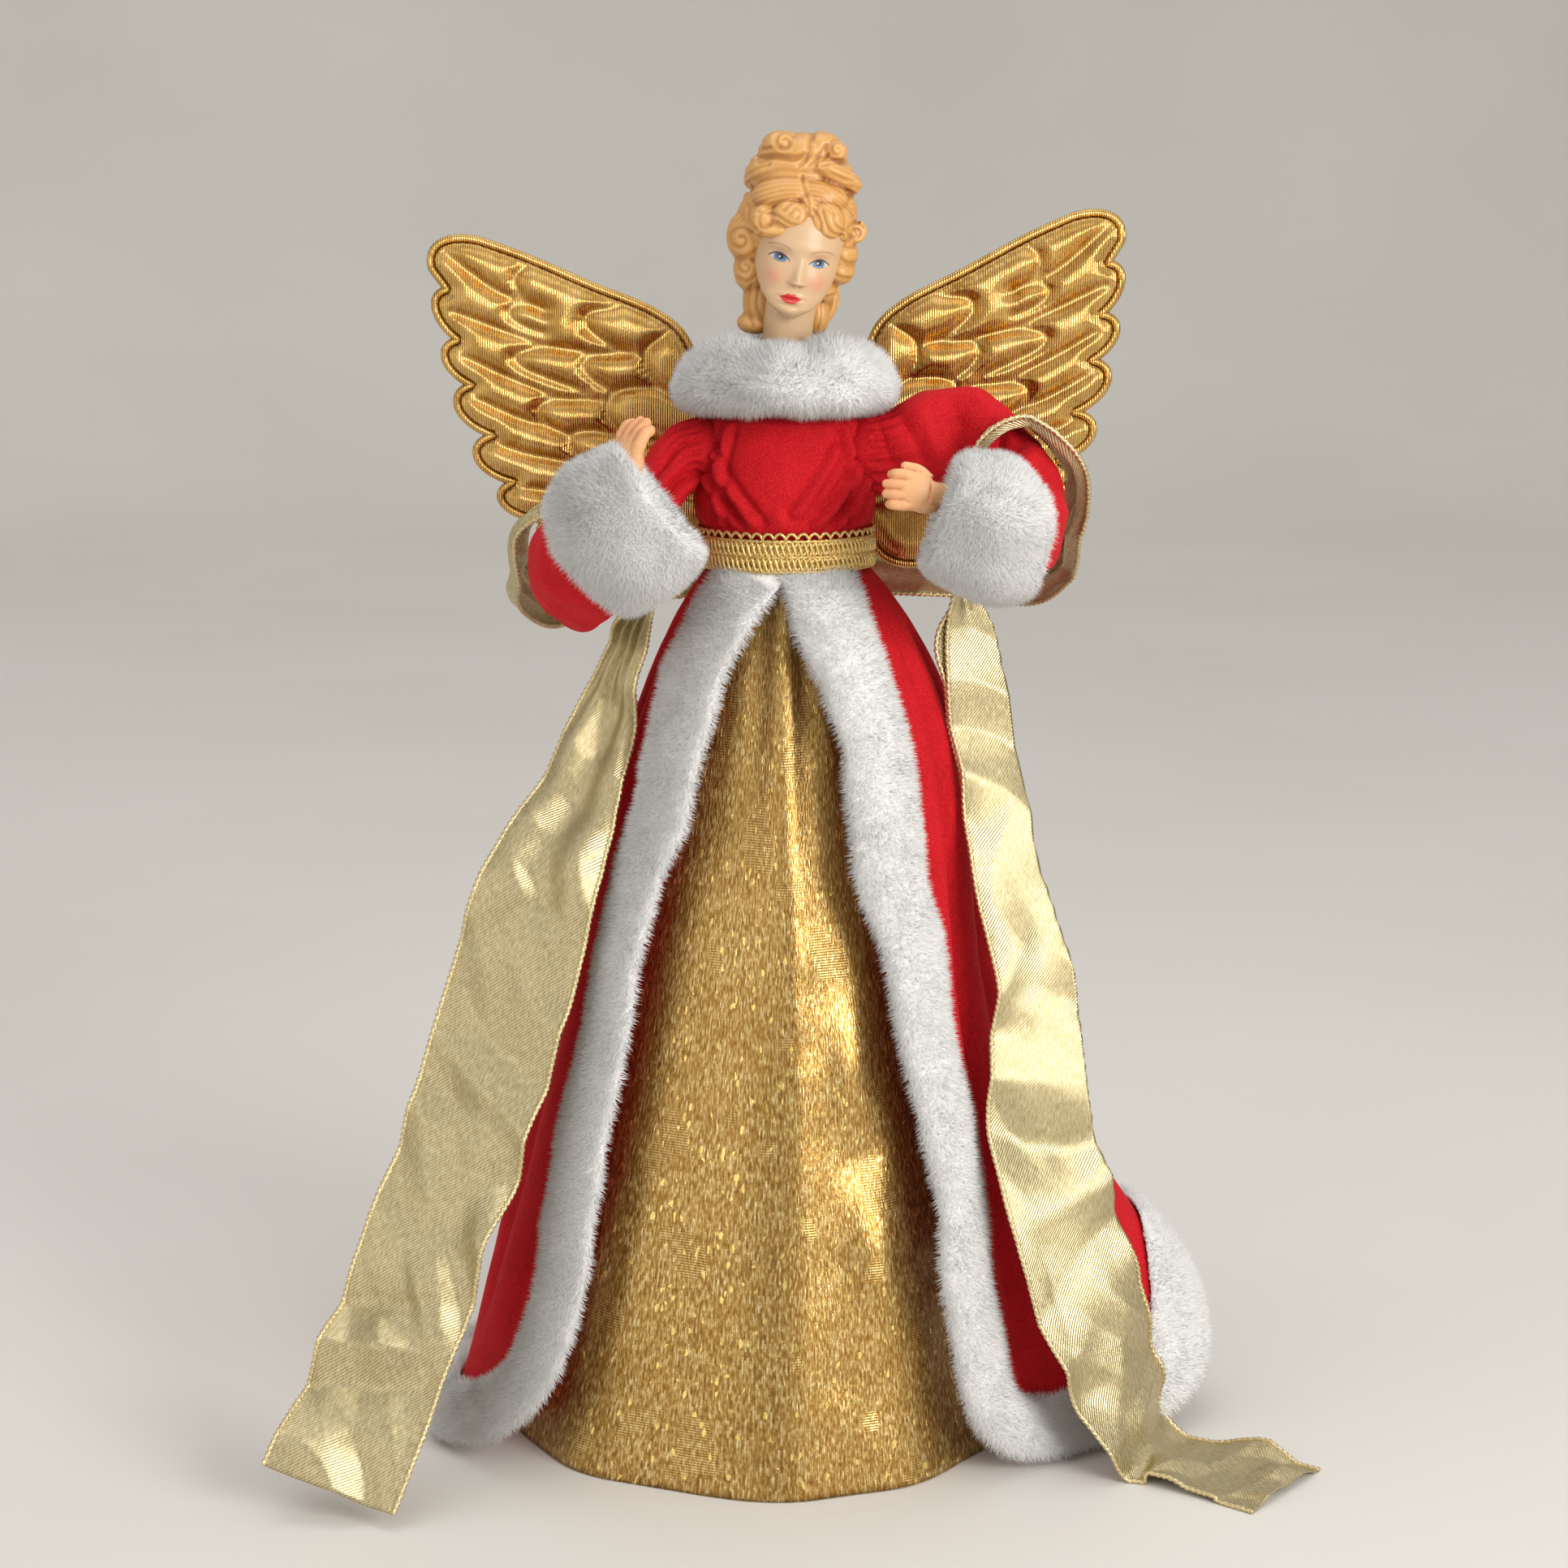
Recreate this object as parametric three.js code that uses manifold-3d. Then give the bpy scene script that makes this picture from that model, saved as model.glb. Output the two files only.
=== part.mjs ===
// Angel tree topper. A hollow card cone goes over the tree's top shoot and carries a stuffed figure
// in a velvet robe, with padded wings and a wired ribbon sash.
// Millimetres, +Z up. The figure faces -Y and its own left side is +X.
// The origin is the centre of the cone's base, on the plane that the topper stands on.
import * as THREE from "three";
import { mergeVertices } from "three/addons/utils/BufferGeometryUtils.js";
import Module from "manifold-3d";

const wasm = await Module();
wasm.setup();

// Clearances
const seatGap = 0.3; // between pieces that rest against each other
const turnGap = 0.6; // round a piece that turns
const trimGap = 0.9; // between a fur band and the folded cloth under it

// Card cone, which is the socket for the tree
const coneHeight = 262;
const coneBaseRadius = 62;
const coneTopRadius = 19;
const coneWall = 1.6;

// Torso form: half widths and half depths of the chest, shoulders and neck
const torsoHeight = 60;
const spigotDepth = 14;
const spigotSlack = 2.4; // round the spigot, in the cone's top
const waistWider = 1; // half width of the waist past the cone's top
const waistShallower = 1; // half depth of the waist short of the cone's top
const chestRise = 36; // from the torso's bottom
const chestHalfWidth = 22.5;
const chestHalfDepth = 19;
const shoulderHalfWidth = 20;
const shoulderHalfDepth = 15;
const neckHalfWidth = 12;
const neckHalfDepth = 10.5;
const shoulderRound = 6; // height of the slope from the shoulders to the neck
const shoulderDrop = 16; // from the torso's top to the arm wires

// Neck post and head
const neckPostRadius = 3.5;
const neckPostLength = 26;
const neckPostSink = 11; // length held in the torso
const neckRadius = 9.2;
const headX = 3; // the head stands a little to its left
const faceHalfWidth = 13;
const faceHalfDepth = 14.5;
const faceHalfHeight = 17.5;
const faceAboveTorso = 42.5;
const hairHalfWidth = 21.5;
const hairHalfDepth = 18.5;
const hairHalfHeight = 15.5;
const hairRise = 6.5; // from the face's middle to the middle of the hair
const bunHalfWidth = 17;
const bunHalfDepth = 15;
const bunHalfHeight = 13.5;
const bunRise = 24; // from the face's middle to the middle of the bun
const napeHalfWidth = 15.5;
const napeHalfDepth = 10;
const napeHalfHeight = 15;
const curlRadius = 7.5;
const noseHalfHeight = 3.4;
const noseHalfWidth = 1.9;
const noseHalfDepth = 2.6;
const headRoll = 6; // degrees, crown towards the figure's left
const headNod = 9; // degrees, face downwards

// Underskirt, a shell of brocade over the cone
const skirtThickness = 0.8;
const skirtHemClear = 0.3;
const skirtFlareLeft = 7; // past the cone's base
const skirtFlareRight = 24;
const skirtFlareFront = 8;
const skirtFlareBack = 7;
const skirtTuck = 0.8; // from the robe's top edge down to the underskirt's
const skirtFolds = 9;
const skirtFoldDepth = 1.1;

// Robe, a velvet shell open at the front
const robeThickness = 1;
const robeHemClear = 2.6;
const robeFlareLeft = 13; // past the underskirt's hem
const robeFlareRight = 12;
const robeFlareFront = 7;
const robeFlareBack = 11;
const robeFlareShareLeft = 0.35; // part of the flare that comes just below the waist
const robeFlareShareRight = 0.22;
const robeFlareRate = 10;
const robeFolds = 10;
const robeFoldDepth = 4;
const robeEdgeSpreadLeft = 22; // degrees that each front edge opens, down to the hem
const robeEdgeSpreadRight = 29;
const trainReach = 84; // how far the train sweeps out on the figure's left
const trainAngle = 104;
const trainWidth = 30;
const trainLift = 46; // height of the curled hem
const trainLiftAngle = 110;
const trainLiftWidth = 22;

// Fur bands
const frontTrimWidth = 24;
const frontTrimThickness = 8;
const frontTrimTuck = 2; // from the belt's lower edge down to the band
const frontTrimEnd = 1.5; // from the hem band's top up to the band
const hemTrimHeight = 24;
const hemTrimThickness = 8;
const cuffThickness = 7;
const cuffRows = 4; // rows of the sleeve that the cuff covers, from its open end
const collarRadius = 23;
const collarHalfWidth = 11.4;
const collarHalfHeight = 12.2;

// Bodice and belt
const bodiceRise = 12; // from the torso's bottom
const bodicePadHalfHeight = 8; // half height of the thickest stretch
const bodiceWaistThickness = 2.2;
const bodiceChestThickness = 5;
const bodiceNeckThickness = 3.2;
const bodiceNeckDrop = 2.5; // from the torso's top to the neckline
const beltHeight = 12;
const beltLap = 1.5; // over the robe's top edge
const beltThickness = 1.6;

// Arms
const wireRadius = 1.1;
const wireInset = 3; // distance of the wire's inner end from the body's middle
const sleeveRootRadius = 12;
const sleeveWall = 1.2;
const sleeveRows = 16;
const sleeveColumns = 15;
const sleeveFolds = 5;
const sleeveFoldDepth = 0.8;
const wristRadius = 3.6;
const wristLength = 7;
const wireInHand = 2; // length of the wire in the palm, past the wrist
const handLength = 17;
const palmHalfWidth = 6;
const palmHalfDepth = 2.6;
const fingerRadius = 1.5;
const fingerPitch = 2.9;
const thumbRadius = 1.5;
const thumbLength = 5.5;

// Wings
const wingPlaneGap = 8; // from the bodice's back to the wing's padded face
const wingPadBase = 2;
const featherThickness = 5.5;
const featherHalfWidth = 8;
const wingBackingThickness = 1.4;
const weltRadius = 1.3;
const weltSides = 5;
const wingRootRadius = 7.6;
const wingDroopLeft = 0; // degrees
const wingDroopRight = 5;
const spineHalfWidth = 7;
const spineHeight = 30;

// Ribbon sash
const sashThickness = 0.8;
const sashBehindWings = 16;

// Heights and places that follow from these
const torsoBottom = coneHeight + seatGap;
const torsoTop = torsoBottom + torsoHeight;
const shoulderZ = torsoTop - shoulderDrop;
const chestZ = torsoBottom + chestRise;
const bodiceBottom = torsoBottom + bodiceRise;
const bodiceTop = torsoTop - bodiceNeckDrop;
const robeTop = bodiceBottom - seatGap;
const skirtTop = robeTop - skirtTuck;
const beltBottom = bodiceBottom - beltLap;
const beltTop = beltBottom + beltHeight;
const waistHalfWidth = coneTopRadius + waistWider;
const waistHalfDepth = coneTopRadius - waistShallower;
const skirtHemLeft = coneBaseRadius + skirtFlareLeft;
const skirtHemRight = coneBaseRadius + skirtFlareRight;
const skirtHemFront = coneBaseRadius + skirtFlareFront;
const skirtHemBack = coneBaseRadius + skirtFlareBack;
const robeHemLeft = skirtHemLeft + robeFlareLeft;
const robeHemRight = skirtHemRight + robeFlareRight;
const robeHemFront = skirtHemFront + robeFlareFront;
const robeHemBack = skirtHemBack + robeFlareBack;
const sleeveRootX = chestHalfWidth + seatGap + turnGap;
const wingRootX = wingRootRadius + weltRadius + seatGap / 2;
const wingZ = beltTop + seatGap + spineHeight / 2;
const degrees = Math.PI / 180;
const cutReach = 40; // how far a cutting bar runs past the body

// The front bands nearly meet at the waist, so their angle there follows their width
const trimWaistShare = 0.81;
const robeEdgeAngleTop = (trimWaistShare * frontTrimWidth) / 2 / waistHalfDepth / degrees;

const velvet = { color: 0x8c0f1f, roughness: 0.85, metalness: 0 };
const fur = { color: 0xf2ede4, roughness: 1, metalness: 0 };
const brocade = { color: 0xb98a3e, roughness: 0.45, metalness: 0.5 };
const lame = { color: 0xd9a94e, roughness: 0.35, metalness: 0.7 };
const braid = { color: 0xc99a45, roughness: 0.4, metalness: 0.7 };
const resin = { color: 0xf0cdb4, roughness: 0.45, metalness: 0 };
const card = { color: 0xcdbb99, roughness: 0.95, metalness: 0 };
const foam = { color: 0xe9e3d5, roughness: 0.95, metalness: 0 };
const wood = { color: 0xc8a26e, roughness: 0.7, metalness: 0 };
const wireMetal = { color: 0x8d8d90, roughness: 0.35, metalness: 1 };

const topper = new THREE.Group();

// Adds one named piece to the topper.
function addPiece(name, geometry, look) {
  const mesh = new THREE.Mesh(geometry, new THREE.MeshStandardMaterial(look));
  mesh.name = name;
  topper.add(mesh);
}

// Keeps only positions, joined where vertices meet, and turns the faces out.
function closed(geometry) {
  let bare = geometry.clone();
  bare.deleteAttribute("normal");
  bare.deleteAttribute("uv");
  bare = mergeVertices(bare, 1e-4);
  const p = bare.attributes.position;
  const index = bare.index.array;
  const corner = [new THREE.Vector3(), new THREE.Vector3(), new THREE.Vector3()];
  const kept = [];
  let volume = 0;
  for (let i = 0; i < index.length; i += 3) {
    const [a, b, c] = [index[i], index[i + 1], index[i + 2]];
    if (a === b || b === c || c === a) continue;
    corner.forEach((v, k) => v.fromBufferAttribute(p, index[i + k]));
    volume += corner[0].dot(corner[1].clone().cross(corner[2]));
    kept.push(a, b, c);
  }
  if (volume < 0) kept.reverse();
  bare.setIndex(kept);
  return bare;
}

function fromPoints(points, faces) {
  const geometry = new THREE.BufferGeometry();
  geometry.setAttribute("position", new THREE.Float32BufferAttribute(points.flatMap((p) => p.toArray()), 3));
  geometry.setIndex(faces);
  return closed(geometry);
}

// The cloth solid between two surfaces of (u, v), each from 0 to 1. Around means that u closes on itself.
function shell(outer, inner, across, along, around) {
  const columns = around ? across : across + 1;
  const points = [];
  for (const surface of [outer, inner])
    for (let j = 0; j <= along; j++)
      for (let i = 0; i < columns; i++) points.push(surface(i / across, j / along));
  const layer = columns * (along + 1);
  const at = (side, i, j) => side * layer + j * columns + (i % columns);
  const faces = [];
  const quad = (a, b, c, d) => faces.push(a, b, c, a, c, d);
  for (let j = 0; j < along; j++)
    for (let i = 0; i < across; i++) {
      quad(at(0, i, j), at(0, i + 1, j), at(0, i + 1, j + 1), at(0, i, j + 1));
      quad(at(1, i, j), at(1, i, j + 1), at(1, i + 1, j + 1), at(1, i + 1, j));
    }
  for (let i = 0; i < across; i++) {
    quad(at(0, i, 0), at(1, i, 0), at(1, i + 1, 0), at(0, i + 1, 0));
    quad(at(0, i, along), at(0, i + 1, along), at(1, i + 1, along), at(1, i, along));
  }
  if (!around)
    for (let j = 0; j < along; j++) {
      quad(at(0, 0, j), at(0, 0, j + 1), at(1, 0, j + 1), at(1, 0, j));
      quad(at(0, across, j), at(1, across, j), at(1, across, j + 1), at(0, across, j + 1));
    }
  return fromPoints(points, faces);
}

// A solid through rings of equal point counts. Its ends are capped, unless the rings form a loop.
function loft(rings, loop) {
  const sides = rings[0].length;
  const points = rings.flat();
  const faces = [];
  const last = loop ? rings.length : rings.length - 1;
  for (let j = 0; j < last; j++)
    for (let i = 0; i < sides; i++) {
      const a = j * sides + i;
      const b = j * sides + ((i + 1) % sides);
      const c = ((j + 1) % rings.length) * sides + ((i + 1) % sides);
      const d = ((j + 1) % rings.length) * sides + i;
      faces.push(a, b, c, a, c, d);
    }
  if (!loop)
    for (const [start, flip] of [[0, true], [(rings.length - 1) * sides, false]]) {
      const ring = points.slice(start, start + sides);
      const middle = ring.reduce((sum, p) => sum.add(p), new THREE.Vector3()).divideScalar(sides);
      points.push(middle);
      for (let i = 0; i < sides; i++) {
        const a = start + i;
        const b = start + ((i + 1) % sides);
        faces.push(points.length - 1, flip ? b : a, flip ? a : b);
      }
    }
  return fromPoints(points, faces);
}

function solid(geometry) {
  const bare = closed(geometry);
  const vertProperties = new Float32Array(bare.attributes.position.array);
  const triVerts = new Uint32Array(bare.index.array);
  return new wasm.Manifold(new wasm.Mesh({ numProp: 3, vertProperties, triVerts }));
}

function geometryOf(manifold) {
  const mesh = manifold.getMesh();
  const geometry = new THREE.BufferGeometry();
  geometry.setAttribute("position", new THREE.Float32BufferAttribute(mesh.vertProperties, 3));
  geometry.setIndex(Array.from(mesh.triVerts));
  return geometry;
}

function joined(geometries) {
  return geometries.map(solid).reduce((sum, next) => sum.add(next));
}

function ellipsoid(halfWidth, halfDepth, halfHeight, x, y, z, around = 14, up = 9) {
  const ball = new THREE.SphereGeometry(1, around, up).rotateX(Math.PI / 2);
  return ball.scale(halfWidth, halfDepth, halfHeight).translate(x, y, z);
}

// A round bar between two points.
function bar(from, to, radius, sides = 12) {
  const axis = to.clone().sub(from);
  const turn = new THREE.Quaternion().setFromUnitVectors(vec(0, 1, 0), axis.clone().normalize());
  const rod = new THREE.CylinderGeometry(radius, radius, axis.length(), sides).applyQuaternion(turn);
  return rod.translate(...from.clone().add(to).divideScalar(2).toArray());
}

const vec = (x, y, z) => new THREE.Vector3(x, y, z);
const mix = THREE.MathUtils.lerp;

// A smooth value through [place, value] pairs.
function along(pairs, place) {
  if (place <= pairs[0][0]) return pairs[0][1];
  for (let i = 1; i < pairs.length; i++)
    if (place <= pairs[i][0]) {
      const share = (place - pairs[i - 1][0]) / (pairs[i][0] - pairs[i - 1][0]);
      return mix(pairs[i - 1][1], pairs[i][1], share * share * (3 - 2 * share));
    }
  return pairs[pairs.length - 1][1];
}

// A soft bump of height 1 round an angle in degrees.
function bump(angle, centre, width) {
  return Math.exp(-(((angle - centre) / width) ** 2));
}

// Card cone: a straight wall, open below and above
const coneProfile = [
  new THREE.Vector2(coneBaseRadius - coneWall, 0),
  new THREE.Vector2(coneBaseRadius, 0),
  new THREE.Vector2(coneTopRadius, coneHeight),
  new THREE.Vector2(coneTopRadius - coneWall, coneHeight),
  new THREE.Vector2(coneBaseRadius - coneWall, 0),
];
addPiece("cone_core", closed(new THREE.LatheGeometry(coneProfile, 24).rotateX(Math.PI / 2)), card);

// Torso form: an oval body with a spigot in the cone, a bore for the wires and a hole for the neck post
const torsoWidths = [
  [torsoBottom, waistHalfWidth],
  [bodiceBottom, waistHalfWidth],
  [chestZ, chestHalfWidth],
  [torsoTop - shoulderRound, shoulderHalfWidth],
  [torsoTop, neckHalfWidth],
];
const torsoDepths = [
  [torsoBottom, waistHalfDepth],
  [bodiceBottom, waistHalfDepth],
  [chestZ, chestHalfDepth],
  [torsoTop - shoulderRound, shoulderHalfDepth],
  [torsoTop, neckHalfDepth],
];

// A point on an oval round the body: angle 0 is the front, positive towards the figure's left.
function oval(halfWidth, halfDepth, angle, z) {
  return vec(halfWidth * Math.sin(angle), -halfDepth * Math.cos(angle), z);
}

const bodySides = 20;
const bodiceRows = 6;

function torsoRing(z) {
  const ring = [];
  for (let i = 0; i < bodySides; i++)
    ring.push(oval(along(torsoWidths, z), along(torsoDepths, z), (i / bodySides) * 2 * Math.PI, z));
  return ring;
}

// The torso's rings lie at the bodice's rows, so that the two stay parallel
const torsoRings = [torsoRing(torsoBottom)];
for (let j = 0; j <= bodiceRows; j++) {
  torsoRings.push(torsoRing(mix(bodiceBottom, bodiceTop, j / bodiceRows)));
}
torsoRings.push(torsoRing(torsoTop));
const spigotRadius = coneTopRadius - coneWall - seatGap - spigotSlack;
const spigot = bar(vec(0, 0, torsoBottom - spigotDepth), vec(0, 0, bodiceBottom), spigotRadius, 16);
const boreReach = chestHalfWidth + cutReach;
const boreEnds = [vec(-boreReach, 0, shoulderZ), vec(boreReach, 0, shoulderZ)];
const wireBore = bar(...boreEnds, wireRadius + turnGap);
const holeEnds = [vec(0, 0, torsoTop - neckPostSink), vec(0, 0, torsoTop + cutReach)];
const postHole = bar(...holeEnds, neckPostRadius + seatGap);
const torso = solid(loft(torsoRings)).add(solid(spigot)).subtract(solid(wireBore)).subtract(solid(postHole));
addPiece("torso_form", geometryOf(torso), foam);

// Neck post, a peg in the torso that the head turns on
const postBottom = torsoTop - neckPostSink + seatGap;
const postTop = postBottom + neckPostLength;
addPiece("neck_post", closed(bar(vec(0, 0, postBottom), vec(0, 0, postTop), neckPostRadius)), wood);

// Bodice: a padded velvet tube over the torso, with an armhole on each side
const bodiceThicknesses = [
  [bodiceBottom, bodiceWaistThickness],
  [chestZ - bodicePadHalfHeight, bodiceChestThickness],
  [chestZ + bodicePadHalfHeight, bodiceChestThickness],
  [bodiceTop, bodiceNeckThickness],
];

function bodicePoint(u, v, thickness) {
  const z = mix(bodiceBottom, bodiceTop, v);
  const out = seatGap + thickness * along(bodiceThicknesses, z);
  return oval(along(torsoWidths, z) + out, along(torsoDepths, z) + out, u * 2 * Math.PI, z);
}

const bodiceFace = (u, v) => bodicePoint(u, v, 1);
const bodiceLining = (u, v) => bodicePoint(u, v, 0);
const bodiceTube = shell(bodiceFace, bodiceLining, bodySides, bodiceRows, true);
const armholes = bar(...boreEnds, sleeveRootRadius + seatGap + turnGap, 24);
addPiece("bodice", geometryOf(solid(bodiceTube).subtract(solid(armholes))), velvet);

// Belt of braid, over the robe's top edge and the bodice's lower edge
const beltInner = seatGap * 2 + along(bodiceThicknesses, beltTop);
const beltHalfWidth = along(torsoWidths, beltTop) + beltInner;
const beltHalfDepth = along(torsoDepths, beltTop) + beltInner;

function beltPoint(u, v, out) {
  const z = mix(beltBottom, beltTop, v);
  return oval(beltHalfWidth + out, beltHalfDepth + out, u * 2 * Math.PI, z);
}

const beltFace = (u, v) => beltPoint(u, v, beltThickness);
const beltLining = (u, v) => beltPoint(u, v, 0);
addPiece("waist_belt", shell(beltFace, beltLining, bodySides, 1, true), braid);

// Underskirt: a brocade shell over the cone, wider on the figure's right
function skirtPoint(angle, z, inset) {
  const drop = (skirtTop - z) / skirtTop;
  const side = Math.sin(angle) > 0 ? skirtHemLeft : skirtHemRight;
  const face = Math.cos(angle) > 0 ? skirtHemFront : skirtHemBack;
  const start = seatGap + skirtThickness;
  const fold = skirtFoldDepth * drop * Math.cos(skirtFolds * angle + 1) - inset;
  const halfWidth = mix(waistHalfWidth + start, side, drop) + fold;
  const halfDepth = mix(waistHalfDepth + start, face, drop) + fold;
  return oval(halfWidth, halfDepth, angle, z);
}

const underskirt = shell(
  (u, v) => skirtPoint(u * 2 * Math.PI, mix(skirtTop, skirtHemClear, v), 0),
  (u, v) => skirtPoint(u * 2 * Math.PI, mix(skirtTop, skirtHemClear, v), skirtThickness),
  45,
  4,
  true
);
addPiece("underskirt", underskirt, brocade);

// Robe: angles run from the right front edge, round the back, to the left front edge
function robeEdges(drop) {
  const right = -(robeEdgeAngleTop + robeEdgeSpreadRight * drop ** 0.6);
  const left = robeEdgeAngleTop + robeEdgeSpreadLeft * drop ** 0.9;
  return [right, left - 360];
}

function robeAngle(u, drop) {
  const [right, left] = robeEdges(drop);
  return mix(right, left, u);
}

function robeHem(angle) {
  return robeHemClear + trainLift * bump(angle + 360, trainLiftAngle, trainLiftWidth);
}

// A point of the robe's outside. The angle is in degrees and the height falls from the waist by drop.
function robePoint(angle, z, out) {
  const drop = (robeTop - z) / robeTop;
  const turn = angle * degrees;
  const leftward = angle < -180 ? angle + 360 : angle;
  const share = mix(robeFlareShareRight, robeFlareShareLeft, (Math.sin(turn) + 1) / 2);
  const spread = share * (1 - Math.exp(-robeFlareRate * drop)) + (1 - share) * drop;
  const start = seatGap * 2 + skirtThickness + robeThickness;
  const side = Math.sin(turn) > 0 ? robeHemLeft : robeHemRight;
  const face = Math.cos(turn) > 0 ? robeHemFront : robeHemBack;
  const train = trainReach * Math.max(drop, 0) ** 3 * bump(leftward, trainAngle, trainWidth);
  const edge = Math.min(1, Math.max(0, (Math.abs(leftward) - 62) / 40));
  const fold = robeFoldDepth * edge * Math.min(1, drop * 1.6) * Math.cos(robeFolds * turn);
  const halfWidth = mix(waistHalfWidth + start, side, spread) + fold + train + out;
  const halfDepth = mix(waistHalfDepth + start, face, spread) + fold + train * 0.35 + out;
  return oval(halfWidth, halfDepth, turn, z);
}

const robeAcross = 48;
const robeAlong = 7;
const robeHemCrowding = 1.6; // draws the rows together towards the hem

function robeAt(u, v, out) {
  const drop = 1 - (1 - v) ** robeHemCrowding;
  const angle = robeAngle(u, drop);
  return robePoint(angle, mix(robeTop, robeHem(angle), drop), out);
}

const robeFace = (u, v) => robeAt(u, v, 0);
const robeLining = (u, v) => robeAt(u, v, -robeThickness);
addPiece("robe", shell(robeFace, robeLining, robeAcross, robeAlong, false), velvet);

// Fur bands have a D section: flat on the cloth and crowned outside
const bandSection = [
  [-1, 0.15],
  [-0.65, 0.8],
  [0, 1],
  [0.65, 0.8],
  [1, 0.15],
  [0.5, 0],
  [-0.5, 0],
];

const hemTrimTop = robeHemClear + hemTrimHeight;

// A band down one front edge of the robe, from under the belt to the hem band.
function frontTrim(edge) {
  const rings = [];
  const steps = 14;
  const top = beltBottom - frontTrimTuck;
  const bottom = hemTrimTop + frontTrimEnd;
  for (let j = 0; j <= steps; j++) {
    const z = mix(top, bottom, j / steps);
    const drop = (robeTop - z) / robeTop;
    const middle = robeEdges(drop)[edge];
    const radius = vec(robePoint(middle, z, 0).x, robePoint(middle, z, 0).y, 0).length();
    const half = (frontTrimWidth / 2 / radius / degrees) * Math.min(1, 0.86 + drop * 2);
    const thick = frontTrimThickness * Math.min(1, 0.45 + drop * 6);
    rings.push(bandSection.map(([s, h]) => robePoint(middle + s * half, z, trimGap + h * thick)));
  }
  return loft(rings);
}

addPiece("front_trim_right", frontTrim(0), fur);
addPiece("front_trim_left", frontTrim(1), fur);

// A band round the hem, from one front edge to the other
function hemTrim() {
  const rings = [];
  for (let i = -1; i <= robeAcross + 1; i++) {
    const angle = robeAngle(i / robeAcross, 1);
    const low = robeHem(angle) - robeHemClear + seatGap;
    const ring = bandSection.map(([s, h]) => {
      const z = low + (hemTrimHeight * (1 + s)) / 2;
      return robePoint(angle, z, trimGap + h * hemTrimThickness);
    });
    rings.push(ring);
  }
  return loft(rings);
}

addPiece("hem_trim", hemTrim(), fur);

// Collar: a fat fur ring that rests on the bodice's neckline
const necklineHalfWidth = along(torsoWidths, bodiceTop) + seatGap + bodiceNeckThickness;
const collarLean = Math.min(1, Math.abs(collarRadius - necklineHalfWidth) / collarHalfWidth);
const collarZ = bodiceTop + seatGap + collarHalfHeight * Math.sqrt(1 - collarLean ** 2);
const collarRing = new THREE.TorusGeometry(collarRadius, collarHalfWidth, 9, 22);
collarRing.scale(1, 1, collarHalfHeight / collarHalfWidth).translate(0, 0, collarZ);
addPiece("collar", closed(collarRing), fur);

// Head: an upright neck with a bore for the post, and a tilted face and hair
const headZ = torsoTop + faceAboveTorso;
const headTurn = new THREE.Euler(headNod * degrees, headRoll * degrees, 0);
const tilt = new THREE.Matrix4().makeRotationFromEuler(headTurn);
const pivot = vec(headX / 2, 0, headZ - faceHalfHeight);

function tilted(geometry) {
  geometry.translate(-pivot.x, -pivot.y, -pivot.z);
  return geometry.applyMatrix4(tilt).translate(pivot.x, pivot.y, pivot.z);
}

const faceX = headX - 1;
const curlOut = faceHalfWidth + 1;
const curlZ = headZ - 8;
const headShapes = [
  ellipsoid(faceHalfWidth, faceHalfDepth, faceHalfHeight, faceX, -4, headZ, 16, 11),
  ellipsoid(hairHalfWidth, hairHalfDepth, hairHalfHeight, faceX, 3.5, headZ + hairRise, 16, 9),
  ellipsoid(bunHalfWidth, bunHalfDepth, bunHalfHeight, headX, 4, headZ + bunRise, 14, 8),
  ellipsoid(napeHalfWidth, napeHalfDepth, napeHalfHeight, faceX, 9, headZ - 6, 10, 7),
  ellipsoid(curlRadius, curlRadius, curlRadius * 1.2, faceX - curlOut, 2, curlZ, 8, 6),
  ellipsoid(curlRadius, curlRadius, curlRadius * 1.2, faceX + curlOut, 2, curlZ, 8, 6),
  ellipsoid(noseHalfWidth, noseHalfDepth, noseHalfHeight, faceX, -faceHalfDepth - 3.5, headZ - 3.5, 6, 4),
].map(tilted);
const neckBottom = torsoTop + seatGap;
const neck = bar(vec(0, 0, neckBottom), vec(headX * 0.6, -1, headZ), neckRadius, 18);
const neckCut = bar(vec(0, 0, neckBottom - cutReach), vec(0, 0, neckBottom), neckRadius * 2, 18);
const headBoreEnds = [vec(0, 0, neckBottom - cutReach), vec(0, 0, postTop + seatGap)];
const headBore = bar(...headBoreEnds, neckPostRadius + seatGap);
const head = joined([neck, ...headShapes]).subtract(solid(neckCut)).subtract(solid(headBore));
addPiece("head", geometryOf(head), resin);

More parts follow.
